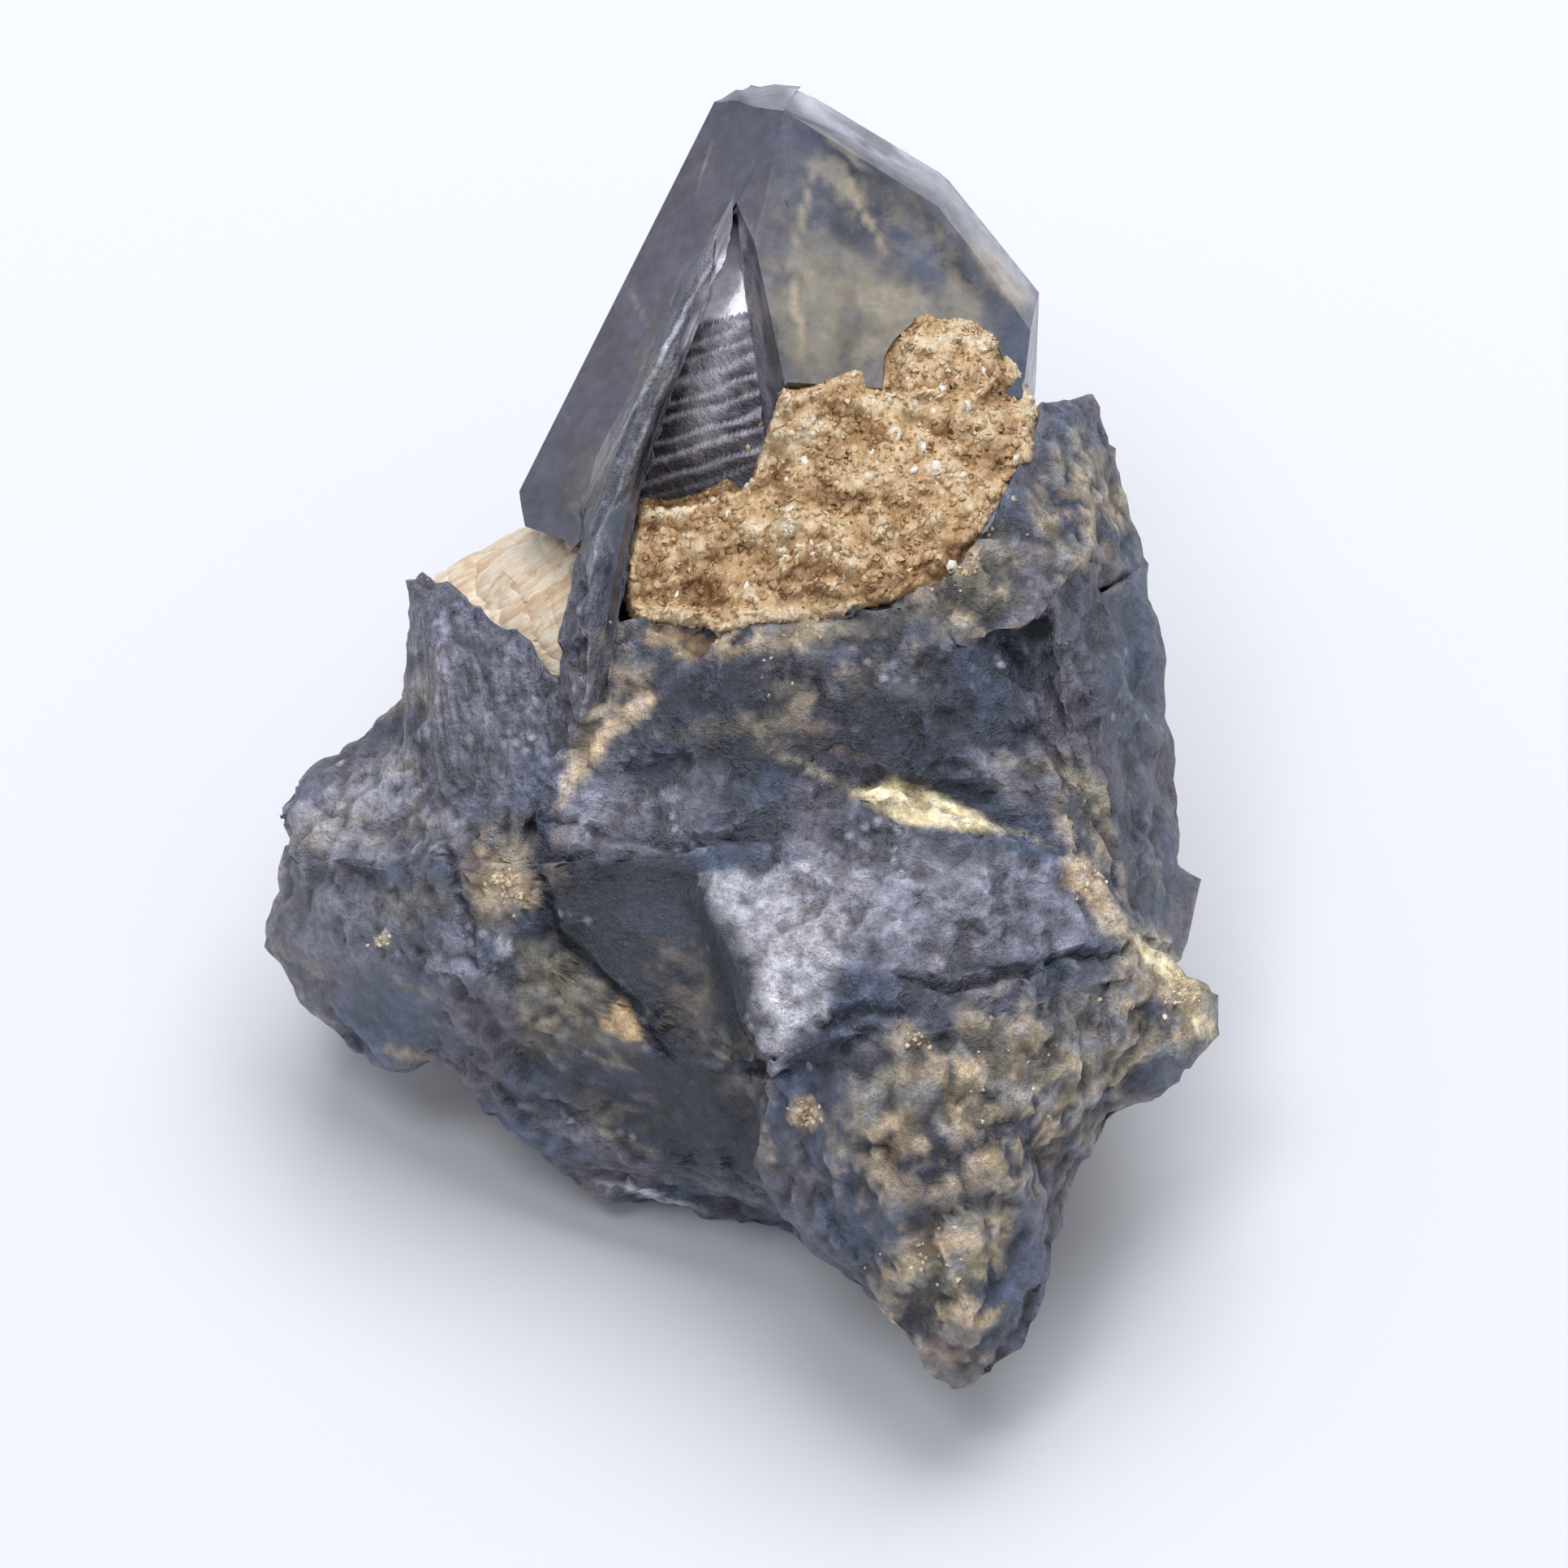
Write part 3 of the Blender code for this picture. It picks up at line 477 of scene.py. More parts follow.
STROKES = [
    # left half of the twin
    (VIOLET, -5, 21, 12, 4.5, 62, 0.9), (OLIVE, -7.6, 13.2, 3, 1.6, 50, 0.4),
    (SLATE, -1.6, 28, 2.4, 1.6, 20, 0.6), (OLIVE, -5.6, 19, 2.2, 0.7, 70, 0.35),
    (TAN, -3.4, 26.6, 1.2, 0.08, 75, 0.3), (KHAKI, -6.2, 20.4, 1.5, 0.1, 120, 0.35),
    (RUST, -6.5, 21.6, 0.4, 0.12, 60, 0.6),
    # right half
    (SLATE, 3.5, 22, 9, 7, 0, 0.6), (OLIVE, 2.2, 19.8, 4, 3.4, 0, 0.7),
    (KHAKI, 1.4, 21.6, 2.6, 1.2, 80, 0.5), (INK, 4.9, 24.8, 5.4, 1.1, -42, 0.95),
    (INK, 7.4, 21.8, 1.8, 0.7, -50, 0.8), (INK, 2.6, 24.4, 1.5, 0.9, -70, 0.8),
    (BLUE, 5.6, 22.8, 1.8, 1, -50, 0.8), (INK, 3.6, 28, 2.4, 0.4, -32, 0.7),
    (BLUE, 7, 20.4, 1.4, 0.9, -30, 0.5), (INK, 2.6, 18.2, 2.4, 0.9, 14, 0.75),
    (KHAKI, 2.4, 26, 1.9, 0.6, -35, 0.7), (KHAKI, 4.8, 20.6, 2, 1.1, -10, 0.8),
    (TAN, 0.9, 24.9, 2.4, 0.2, 78, 0.5), (TAN, 3.5, 24.4, 2.4, 0.2, -66, 0.6),
    (TAN, 0.5, 20.4, 2.4, 0.22, 98, 0.6), (KHAKI, 2.6, 27.2, 1.6, 0.2, -40, 0.5),
    (KHAKI, 7.6, 20.6, 1.4, 0.8, -40, 0.55),
    (KHAKI, 5.2, 18.9, 2.6, 0.9, 8, 0.6), (KHAKI, 1.2, 18.6, 1.2, 1.4, 0, 0.5),
    (TAN, 9, 22.4, 1.5, 0.5, -52, 0.5), (TAN, 9.9, 21.1, 0.9, 0.4, -58, 0.5),
    (VIOLET, -1, 21.5, 4, 0.7, 95, 0.7), (KHAKI, -0.6, 22.4, 1.4, 0.2, 85, 0.3),
    # valley and blade
    # The pale stroke at -3, 18 is painted light on the valley's floor, for the light that its steps
    # reflect
    (PALE, -3, 18, 4.4, 1.5, 75, 0.75), (RUST, -4.2, 17.8, 0.7, 0.25, 70, 0.7),
    (SLATE, -3.9, 12.9, 1.8, 1.3, 30, 0.8), (LILAC, -1.2, 19.6, 5.2, 0.5, 98, 0.8),
    (SLATE, -6.4, 15.4, 9.6, 0.7, 68, 0.9), (SLATE, -8, 7, 4.8, 1.3, 88, 0.9),
    (INK, -5.2, 15.4, 4.6, 0.4, 71, 0.8), (INK, -7.4, 8.4, 3.6, 0.6, 80, 0.6),
    # The thin pale and lilac strokes on this line and the next are painted highlights along the blade
    (PALE, -5.3, 18.2, 6.6, 0.14, 62, 0.4), (LILAC, -6.1, 14.8, 5, 0.13, 67, 0.5),
    (LILAC, -8.3, 9, 2.4, 0.13, 77, 0.5), (INK, -8.9, 6.4, 1.6, 0.3, 60, 0.6),
    # horn and left lumps
    (HORN, -12.6, 3.4, 6, 4, -55, 0.9), (BLUE, -10.8, 0, 2, 1.2, 60, 0.5),
    (LILAC, -18, -0.8, 3.4, 1.4, 30, 0.7), (KHAKI, -19.6, -1.8, 2.2, 0.6, 30, 0.4),
    (TAN, -15.9, 0.5, 0.8, 0.3, -40, 0.35), (PALE, -14.2, -1.6, 1.1, 0.5, -60, 0.35),
    (HORN, -19.6, -6, 4, 2.6, -60, 0.9), (BLUE, -17, -9.4, 2.4, 1.4, -35, 0.8),
    (OLIVE, -15.8, -5.2, 2.2, 1, 10, 0.4), (CREAM, -17.2, -6.7, 0.4, 0.28, -20, 0.6),
    (LILAC, -14.2, -7.4, 1.6, 1.4, -70, 0.5), (RUST, -13.2, -3.4, 0.9, 1.4, 0, 0.5),
    (TAN, -16.2, -11.6, 1.6, 0.25, -4, 0.6), (KHAKI, -15.9, -8.6, 1.2, 0.2, -35, 0.6),
    (TAN, -12, -4.2, 2.2, 1.4, 70, 0.9), (BUFF, -11.6, -4.6, 1.2, 0.7, 60, 0.8),
    (CREAM, -12.4, -4, 0.6, 0.35, 60, 0.8), (PALE, -12, -6.8, 0.7, 0.5, 70, 0.8),
    # vein from the feldspar to the mica
    (TAN, -7.4, 3.4, 2.6, 0.45, 48, 0.7),
    (ORANGE, -3.6, 5.8, 2.6, 0.5, -8, 0.7), (TAN, 0.6, 6.2, 2.6, 0.35, 14, 0.7),
    (OCHRE, -5.2, 6.6, 1.2, 0.6, 20, 0.5), (BLUE, -5.6, 7.4, 1.2, 0.6, 0, 0.8),
    (BLUE, -2.2, 7.2, 2, 0.45, 0, 0.8),
    # upper mass
    # The two ink strokes on the next line are painted shadow across the upper mass
    (INK, 0.5, 2.8, 9, 2.8, -3, 0.75), (INK, 5.5, 1.2, 3.6, 1.4, -20, 0.7),
    (SLATE, -4, -1.4, 5, 1.6, 4, 0.6), (LILAC, 4.8, 4.4, 1.6, 0.6, -30, 0.35),
    (LILAC, -7, -1.2, 1.8, 0.8, 10, 0.5), (RUST, 1.6, 1.6, 2.8, 0.2, -14, 0.5),
    (KHAKI, 0.6, 0.9, 3.4, 0.15, -20, 0.5), (LILAC, 9, 0.6, 1.8, 0.8, -30, 0.4),
    (OLIVE, -2, 2.6, 4, 0.5, 8, 0.4), (OLIVE, 4.2, 7.2, 2.6, 0.8, 20, 0.5),
    (KHAKI, 1.6, 0.4, 2.4, 0.15, -24, 0.7), (KHAKI, 10, -2.2, 2, 0.25, -20, 0.6),
    # front mass
    (LILAC, 4, -4.6, 6, 2.6, -8, 0.5), (LILAC, 1.4, -5.4, 3, 1.8, -20, 0.5),
    # The white and pale strokes on the next line are partly painted light, on the face of the block
    # that catches the light from above
    (WHITE, -0.8, -8.6, 2.8, 1, -62, 0.9), (PALE, -0.4, -5.2, 1.6, 0.9, 10, 0.6),
    (SLATE, 9, -5.6, 4, 2, -10, 0.4), (INK, 0.9, -9.4, 1, 0.6, 0, 0.6),
    # The thin ink line at 7.5, -7.9 is painted shadow under a ledge
    (INK, 7.5, -7.9, 4.2, 0.22, 8, 0.8), (BLUE, 3.4, -9, 3, 1.2, -10, 0.6),
    (SLATE, 5, -7, 4, 0.8, 0, 0.5), (BLUE, 11, -8.8, 2.4, 1, 20, 0.5),
    (INK, 2.2, -11.4, 2.2, 1, -10, 0.8),
    # dark face and underside
    # The ink on the dark face is partly painted shade, cast by the block beside it
    (INK, -5.6, -6, 5.6, 3, -20, 1), (INK, -2.6, -8.6, 3.4, 2.2, -60, 1),
    (BLUE, -5, -6, 2.4, 1.2, -30, 0.45), (OLIVE, -4, -9.6, 1.6, 0.8, 40, 0.5),
    (OLIVE, -9.4, -8.6, 3.4, 1.5, -42, 0.75),
    (RUST, -3.8, -9.4, 0.5, 0.9, 0, 0.5), (INK, -5.4, -13.6, 5, 2.2, -25, 0.85),
    (BLUE, -7.4, -12.4, 2.6, 0.8, -25, 0.5), (INK, -3.2, -12.9, 1.6, 0.7, -20, 0.9),
    (KHAKI, -7.6, -11.8, 1.6, 0.16, -20, 0.5), (BLUE, -10.4, -13.4, 2.4, 1, -50, 0.6),
    (LILAC, -8.6, -15, 3.4, 0.6, -28, 0.6), (VIOLET, -7, -16, 2.6, 0.8, -20, 0.7),
    (KHAKI, -7, -15.2, 2, 0.3, -24, 0.4), (CHALK, -5.8, -17.7, 2.6, 0.18, -16, 0.95),
    # right crystal and right side
    (BLUE, 12.4, 13.2, 3.2, 2, -70, 0.6), (KHAKI, 13.2, 13, 2.6, 1, -60, 0.6),
    (TAN, 12.8, 14.4, 1.2, 0.4, -60, 0.5), (RUST, 13.4, 12.4, 0.8, 0.2, -70, 0.5),
    (KHAKI, 8, 9.2, 2.4, 1.2, 50, 0.6), (OLIVE, 8.4, 7.8, 2.4, 1.4, 30, 0.6),
    (BLUE, 11.2, 11.4, 2.6, 0.7, 60, 0.6), (INK, 9.9, 4.9, 1.5, 0.9, -40, 0.95),
    (BLUE, 14.6, 5, 5, 1.6, -85, 0.8), (INK, 13.6, 5.4, 4, 0.7, -80, 0.5),
    (OLIVE, 13.4, -1.4, 3, 0.8, -72, 0.5), (KHAKI, 14.6, -6.8, 2, 0.5, -60, 0.7),
    (TAN, 16.4, -8.2, 2.6, 1.2, -55, 0.85),
    # prong
    (KHAKI, 8, -12, 6, 1.8, 15, 0.5), (SLATE, 10, -14.6, 4, 2.6, 30, 0.4),
    (KHAKI, 6.6, -20, 3.6, 2.2, 60, 0.6), (BLUE, 2, -16, 3.4, 1.3, -70, 0.8),
    (BLUE, 5.6, -13, 2, 0.8, 20, 0.5), (INK, 6.6, -16.8, 1.8, 0.8, -45, 0.95),
    (TAN, 0.9, -14, 0.7, 0.5, 0, 0.9), (OCHRE, 4.6, -15.6, 0.7, 0.4, 40, 0.6),
    (TAN, 5.4, -10.8, 0.8, 0.6, 0, 0.7), (OCHRE, 4.6, -21, 0.6, 0.4, 0, 0.9),
    (OCHRE, 8.4, -22.6, 1.2, 0.4, 20, 0.7), (TAN, 9, -18.6, 1.6, 0.6, 60, 0.5),
    (KHAKI, 13.4, -12.2, 3, 0.7, 30, 0.8), (TAN, 15.2, -11.2, 1.6, 0.4, 35, 0.6),
    (RUST, 7, -24, 1.6, 0.8, -30, 0.7), (VIOLET, 11.8, -17.8, 3.2, 0.8, 75, 0.9),
    (TAN, -0.6, -15.4, 1.6, 0.16, -80, 0.6), (INK, 2.8, -20.8, 1.4, 0.6, -55, 0.5),
]

# Areas with one tone, under the strokes: (colour, strength, corners)
AREAS = [
    # The first two are partly painted light and shade: the dark face lies in the shade of the block
    # beside it, whose face catches the light from above
    (INK, 0.95, [(-10.6, -3.4), (-3.7, -3.7), (-3, -5.7), (-2.1, -8.2), (-0.9, -11.9),
                 (-5.8, -11.3), (-7.9, -8.9), (-10.4, -6.4)]),
    (WHITE, 0.6, [(-3.5, -4), (1.2, -3.3), (2.9, -6.1), (1.7, -9.6), (-0.5, -12.2), (-2, -8.2)]),
    # A pale strip along the twin's top right facets, partly a painted reflection of the light above
    (PALE, 0.7, [(0.3, 29.8), (1.2, 30.2), (6.1, 27.4), (10.7, 22.4), (10.6, 20.9), (8.2, 23.3),
                 (7, 25.1), (4.7, 26.6), (0.8, 28.9)]),
    (HORN, 0.8, [(-22.4, -2.6), (-19.1, -5.7), (-19.6, -10.3), (-18.8, -12), (-22.4, -7.8)]),
    (INK, 0.8, [(-11.4, -12), (-5.8, -11.5), (-0.9, -12.2), (-1.2, -17), (-8, -16.2)]),
    (OLIVE, 0.6, [(-11.4, -6.4), (-7.9, -8.9), (-6.2, -11.3), (-11.4, -11.7)]),
    (BLUE, 0.7, [(-18.8, -7.3), (-15.6, -7.6), (-14, -11.3), (-17.4, -11.8)]),
    (LILAC, 0.55, [(2, -3.4), (11.5, -3.2), (13.8, -6.6), (5, -8), (2.4, -7.6)]),
    (LILAC, 0.5, [(-21.5, -0.8), (-16.5, 2), (-13.4, -2.6), (-17, -3.4), (-20.8, -3)]),
    # Painted shade across the upper mass
    (INK, 0.45, [(-8, 4.4), (9.5, 6), (11, 1.5), (3, 0), (-6, 1)]),
    (LILAC, 0.5, [(-9.6, 0.4), (-3, -0.6), (-3.6, -2.8), (-9.8, -2.8)]),
    (SLATE, 0.8, [(-11.5, 12.8), (-9.3, 10.4), (-5, 15), (-3.2, 24), (-0.2, 28.6), (-3, 29.6)]),
]

# Veins and patches with a crisp edge, over the strokes: (colour, strength, corners). The first one is a
# painted reflection of the light on the valley's smooth top.
VEINS = [
    # painted reflection of the light on the valley's smooth top
    (WHITE, 0.95, [(-2.2, 24), (-1.8, 24), (-1.55, 20.3), (-3.5, 19.7), (-3.3, 20.6)]),
    (CREAM, 1, [(2.9, -0.4), (4.8, 0.1), (6.2, -0.4), (7.6, -0.9), (9.2, -1.9), (7.2, -2),
                  (5.6, -1.7), (4.2, -1.2)]),
    (BUFF, 0.9, [(11.8, -3.2), (12.7, -2.9), (13.5, -4), (14.8, -6.5), (13.6, -6.2), (12.9, -4.9),
                 (11.9, -4.4)]),
    (CREAM, 0.9, [(14.8, -6.4), (16.2, -7.3), (17.7, -8.6), (18.6, -10.8), (17.4, -10.8),
                  (16.6, -8.9), (15.4, -7.6)]),
    (OCHRE, 0.95, [(-7.6, -9.9), (-6.9, -9.1), (-6.2, -10.2), (-5.9, -11), (-6.7, -11),
                   (-7.8, -10.3)]),
    (BUFF, 0.85, [(-9.8, -0.8), (-9.1, 1.2), (-7.6, 2.8), (-5.8, 4.2), (-5.4, 3.6), (-7, 2.2),
                  (-8.5, 0.5), (-9.4, -0.9)]),
    (BUFF, 0.8, [(0.4, -13.4), (1.3, -13.2), (1.7, -14.3), (0.9, -14.7), (0.2, -14.2)]),
]

# Limonite coats the ore most in these places: (x, y, half length, half width, turn, strength)
COATS = [
    (8.5, -13.6, 8, 4.6, 20, 1), (6.6, -20.5, 5, 3, 60, 1), (16, -9.4, 3, 2.4, 0, 1),
    (3.5, 21, 7, 6.5, 0, 0.5), (13, 11.5, 3, 3.4, 0, 0.8), (8, 8.2, 3, 2.4, 0, 0.9),
    (-12, -3.6, 2, 2.4, 0, 0.7), (-9, -10, 4, 2, -45, 0.35),
    (13, -2, 4, 1.2, -70, 0.7), (-1, 6.2, 6, 0.9, 0, 0.8), (-16.5, -1.6, 2.5, 1.2, 20, 0.5),
]

# Clusters of glinting grains, with steeper facets and more painted highlight spots: (x, y, radius)
SPARKLES = [
    (-11.2, 2, 1.2), (-10.8, -1.2, 0.8), (-18.6, 0.2, 2), (-16.6, -1, 1.6), (-12.6, -7, 1.5),
    (-14, -6.2, 1.4), (-6.2, -1.2, 2), (-4.4, -1.8, 1.2), (4.4, 4.8, 1.4), (-5.4, 7.4, 1),
    (-1.8, 7.2, 1.2), (0.6, -4.4, 2.4), (1.6, -5.4, 2), (-0.8, -9.2, 1.8), (3.6, -2.6, 2.4),
    (0.6, -11.4, 1.4), (5.2, -20.4, 1.6), (9.4, 5.4, 1.2), (14.6, 3, 1.4), (-8.4, -1.8, 1.2),
]

# Kinds of relief, as (x, y, half length, half width, turn, strength): lower, in threads, none, and
# in knobs
QUIET = [
    (-4.6, -6.8, 5.4, 3.2, -35, 0.8), (-5, -13, 6, 3, -25, 0.8),
    (-20.4, -7.4, 3.6, 1.8, -62, 0.7), (15, 4, 8, 2.4, -85, 0.5),
    (-12.8, 3, 6, 3, -55, 0.5), (-17, -9, 3, 1.8, -35, 0.4),
]
FIBROUS = [(-6.3, 15.6, 9.4, 0.8, 67, 0.9), (-8.2, 6.8, 4.6, 1.1, 88, 0.9)]
SMOOTH = [
    (-1.2, 19.4, 5, 0.7, 98, 0.6), (17.4, -5.2, 2.8, 1.5, -80, 1),
    (-4.8, -6.8, 4.6, 2.8, -35, 0.8), (-17, -9.2, 2.6, 1.8, -35, 0.7),
]
KNOBBY = [
    (8.5, -13.6, 9, 4.6, 20, 1), (7, -20, 6, 4, 60, 1), (-14, -4, 5, 3, 0, 0.7),
    (8, 8, 3, 3, 0, 0.7), (13, 11, 3, 4, 0, 0.5),
]


def zone(points, spots):
    """The strongest of the spots that reach each point."""
    warp = noise_at(points, 2.2, 21)
    return np.max([stroke_weight(points, warp, *place) * share for *place, share in spots], axis=0)


def inside_polygon(x, y, corners):
    inside = np.zeros(x.shape, bool)
    for (x0, y0), (x1, y1) in zip(corners, np.roll(corners, -1, axis=0)):
        crosses = (y0 > y) != (y1 > y)
        inside ^= crosses & (x < x0 + (x1 - x0) * (y - y0) / (y1 - y0 + 1e-9))
    return inside


def line_distance(x, y, start, end):
    """How far each place is from the line between two corners."""
    (ax, ay), (bx, by) = start, end
    dx, dy = bx - ax, by - ay
    t = np.clip(((x - ax) * dx + (y - ay) * dy) / (dx * dx + dy * dy), 0, 1)
    return np.hypot(x - ax - t * dx, y - ay - t * dy)


def area_weight(points, warp, corners, edge=0.3):
    """1 inside the corners, 0 outside, with a narrow wandering edge."""
    x, y = points[:, 0] + 0.3 * warp, points[:, 1] - 0.3 * warp
    sides = zip(corners, np.roll(corners, -1, axis=0))
    distance = np.min([line_distance(x, y, *side) for side in sides], axis=0)
    return smoothstep(-edge, edge, np.where(inside_polygon(x, y, corners), distance, -distance))


def stroke_weight(points, warp, x, y, length, width, turn):
    """1 in the middle of a stroke, falling to 0 at its wandering edge."""
    angle = radians(turn)
    dx, dy = points[:, 0] - x, points[:, 1] - y
    along = (dx * cos(angle) + dy * sin(angle)) / length
    across = (dy * cos(angle) - dx * sin(angle) + warp * min(0.7, width)) / width
    return 1 - smoothstep(0.45, 1.15, np.sqrt(along**2 + across**2))


def tinted(color, tone, weight):
    return color + (tone - color) * weight[:, None]


def paint_ore(points, normals, hollow, polish):
    """(colour, coat) of each point, with painted shade in creases and painted highlights on bumps."""
    warp = noise_at(points, 1.4) + 0.7 * noise_at(points, 0.6, 3.1)
    facing = smoothstep(-0.25, 0.2, normals[:, 2])
    mottle = noise_at(points, 3.4, 9)
    color = tinted(SLATE, BLUE, smoothstep(-0.1, 0.4, mottle))
    color = tinted(color, VIOLET, smoothstep(0.05, 0.5, -mottle))
    for tone, strength, corners in AREAS:
        color = tinted(color, tone, area_weight(points, warp, corners) * facing * strength)
    for tone, *place, strength in STROKES:
        color = tinted(color, tone, stroke_weight(points, warp, *place) * facing * strength)
    for tone, strength, corners in VEINS:
        weight = area_weight(points, 0.6 * warp, corners, 0.16)
        color = tinted(color, tone, weight * facing * strength)
    coat = 0.35 * smoothstep(0.1, 0.5, noise_at(points, 5, 4)) * (1 - polish)
    coat = np.maximum(coat, zone(points, COATS) * facing)
    crease, bump = smoothstep(0, 0.12, hollow), smoothstep(0, 0.12, -hollow)
    patch = 0.9 * noise_at(points, 1.5, 11) + 0.5 * noise_at(points, 0.6, 12)
    crust = coat * smoothstep(-0.1, 0.32, patch + 0.35 * (bump - crease)) * (1 - 0.6 * polish)
    tan = smoothstep(-0.3, 0.35, noise_at(points, 1, 13) + 0.3 * bump)
    buff = smoothstep(0.2, 0.55, noise_at(points, 1.3, 14) + 0.25 * bump)
    haze = smoothstep(-0.05, 0.3, noise_at(points, 1.1, 15))
    crusty = tinted(tinted(tinted(KHAKI, TAN, tan), HAZE, 0.75 * haze), BUFF, 0.7 * buff)
    color = tinted(color, crusty, 0.9 * crust)
    # Painted shade: darker in the creases and cracks, less on polished faces
    color = tinted(color, 0.4 * INK, 0.55 * crease * (1 - 0.8 * polish))
    # Painted highlights: lighter on the bumps, except on crust, polished faces and quiet relief
    painted_highlight = 0.35 * bump * (1 - 0.9 * polish) * (1 - crust) * (1 - zone(points, QUIET))
    return tinted(color, np.minimum(2.4 * color, PALE), painted_highlight), coat


def distance_from(points, x, y):
    """Across the display face."""
    return np.hypot(points[:, 0] - x, points[:, 1] - y)


def sparkle_at(points, polish):
    """How much the grains glint at each point: steeper facets and more painted highlight spots."""
    total = 0.1 + 0.25 * smoothstep(0.1, 0.5, noise_at(points, 2.6, 31))
    for x, y, radius in SPARKLES:
        near = smoothstep(1.2, 0.3, distance_from(points, x, y) / radius)
        total = np.maximum(total, 0.62 * near)
    return total * (1 - polish)


# The ore's relief, in face millimetres

VALLEY = ((-1.9, 23.7, 3.6), (-0.9, 16.7, 3.4), (-4.8, 14.5, 1.6))  # its floor's plane
VALLEY_STEPS_FROM = 20.65  # above this height the floor is smooth, and tipped up to the light
VALLEY_STEP = 0.78
TIPPED = (0.35, 0.26)  # how much it slopes more, across and up
CRYSTALS_ABOVE = 8.5  # flat regions above this height are crystal faces, with a polish
TWIN_ABOVE = 17.5  # and above this one everything is
CREASE_ROUNDS = 24
RESTING = 0.02  # points lower than this stay as they are, since the stone stands on them


def on_valley(points):
    """(whether each point lies in the plane of the valley's floor, the plane's normal)."""
    a, b, c = np.array(VALLEY)
    normal = unit(np.cross(b - a, c - a))
    return np.abs((points - a) @ normal) < 0.03, normal * np.sign(normal[2])


def in_valley(points, faces):
    """Whether each point lies inside the valley's floor, away from its rim."""
    near, normal = on_valley(points)
    level = unit(face_normals(points, faces)) @ normal > 0.999
    level &= near[faces].all(axis=1)
    x, y = points[faces].mean(axis=1)[:, :2].T
    level &= (x > -7) & (x < 0.6) & (y > 11) & (y < 24.5)
    return point_values(faces, level.astype(float), len(points), 1, np.minimum) > 0.5


def face_limits(points, faces, flat):
    """The longest edge that each face may keep: short where the camera sees fine relief."""
    x, y, z = points[faces].mean(axis=1).T
    normal = unit(face_normals(points, faces))
    seen = normal[:, 2] > -0.15
    limit = np.where(seen, 0.53, 1.05)
    limit = np.where(flat, 1.1, limit)
    limit = np.where(flat & (normal[:, 2] > 0.1), 0.55, limit)
    blade = (x > -10) & (x < -1.5) & (y > 5) & (y < 25) & (z > -2)
    limit = np.where(blade & seen, 0.35, limit)
    near, floor_normal = on_valley(points)
    valley = near[faces].all(axis=1) & (normal @ floor_normal > 0.999)
    limit = np.where(valley, 0.24, limit)
    return np.where((normal[:, 2] < -0.6) & (y < 8), 1.4, limit)


def height_of(points):
    """Height over the floor, in millimetres."""
    return points @ TIP_BACK[2] + SHIFT[2]


def hackly(points):
    """Height of the broken surface, and of its coarser knobs where it has them."""
    fine = grains_at(points, 0.8, 8)
    hackles = 0.5 * grains_at(points, 2) + 0.2 * knobs_at(points, 0.95, 5) + 0.2 * fine
    knobs = 0.36 * knobs_at(points, 1.7, 1) + 0.35 * grains_at(points, 1.3, 9) + 0.3 * fine
    return hackles + (knobs - hackles) * zone(points, KNOBBY)


def ore_piece():
    points, faces = node_arrays("cassiterite")
    flat = flat_regions(points, faces, 5)
    y = points[faces][..., 1].mean(axis=1)
    flat = (flat & (y > CRYSTALS_ABOVE)) | (y > TWIN_ABOVE)
    points, faces, source = refine(points, faces, face_limits(points, faces, flat))
    rough = point_values(faces, np.where(flat[source], 0, 1), len(points), 1, np.minimum)
    points = fill_creases(points, faces, rough, CREASE_ROUNDS)
    valley = in_valley(points, faces)
    points = points + pulled(points)
    points[valley, 2] = valley_height(points[valley])
    normals = point_normals(points, faces)
    rough = np.minimum(rough, spread(rough, faces, len(points), 3))
    rough[height_of(points) < RESTING] = 0
    broken = hackly(points) * (1 - zone(points, QUIET))
    groove = grooves_at(points)
    smooth = zone(points, SMOOTH)
    rough = rough * (1 - smooth)
    horn = on_horn(points)
    blade = zone(points, FIBROUS) * (points[:, 0] < -3) * (points[:, 2] > -4)
    relief = rough * (broken + 0.5 * noise_at(points, 2.6, 2) - groove)
    moved = points + normals * (relief + striation(points, horn, blade))[:, None]
    offsets, edge = valley_steps(points[valley])
    moved[valley] = points[valley] + offsets
    low = height_of(moved) < 0
    moved[low] = points[low]
    polish = spread(1 - rough, faces, len(points), 2) * (1 - blade) * (1 - smooth)
    mirror = valley & (valley_level(points) > VALLEY_STEPS_FROM)
    polish[valley] = np.where(mirror, 1, 0.4)[valley]
    # How hollow each point is, deeper in the cracks and raised on the hackles: this drives the painted
    # shade in creases and the painted highlights on bumps
    hollow = hollowness(moved, faces, 4) - 0.16 * rough * broken + 0.2 * groove
    color, coat = paint_ore(moved, point_normals(moved, faces), hollow, polish)
    # Painted highlights along the edges of the valley's growth steps
    color[valley] += (PALE - color[valley]) * (0.75 * edge)[:, None]
    attributes = [
        ("paint", color), ("coat", coat), ("polish", polish), ("gloss", 0.8 * mirror),
        ("sparkle", sparkle_at(moved, polish)), ("blade", blade), ("horn", horn),
    ]
    piece = make_mesh("ore", moved, faces, attributes, radians(35))
    piece.data.materials.append(ore_material())
    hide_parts("cassiterite")
    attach(piece, "root")
    return piece


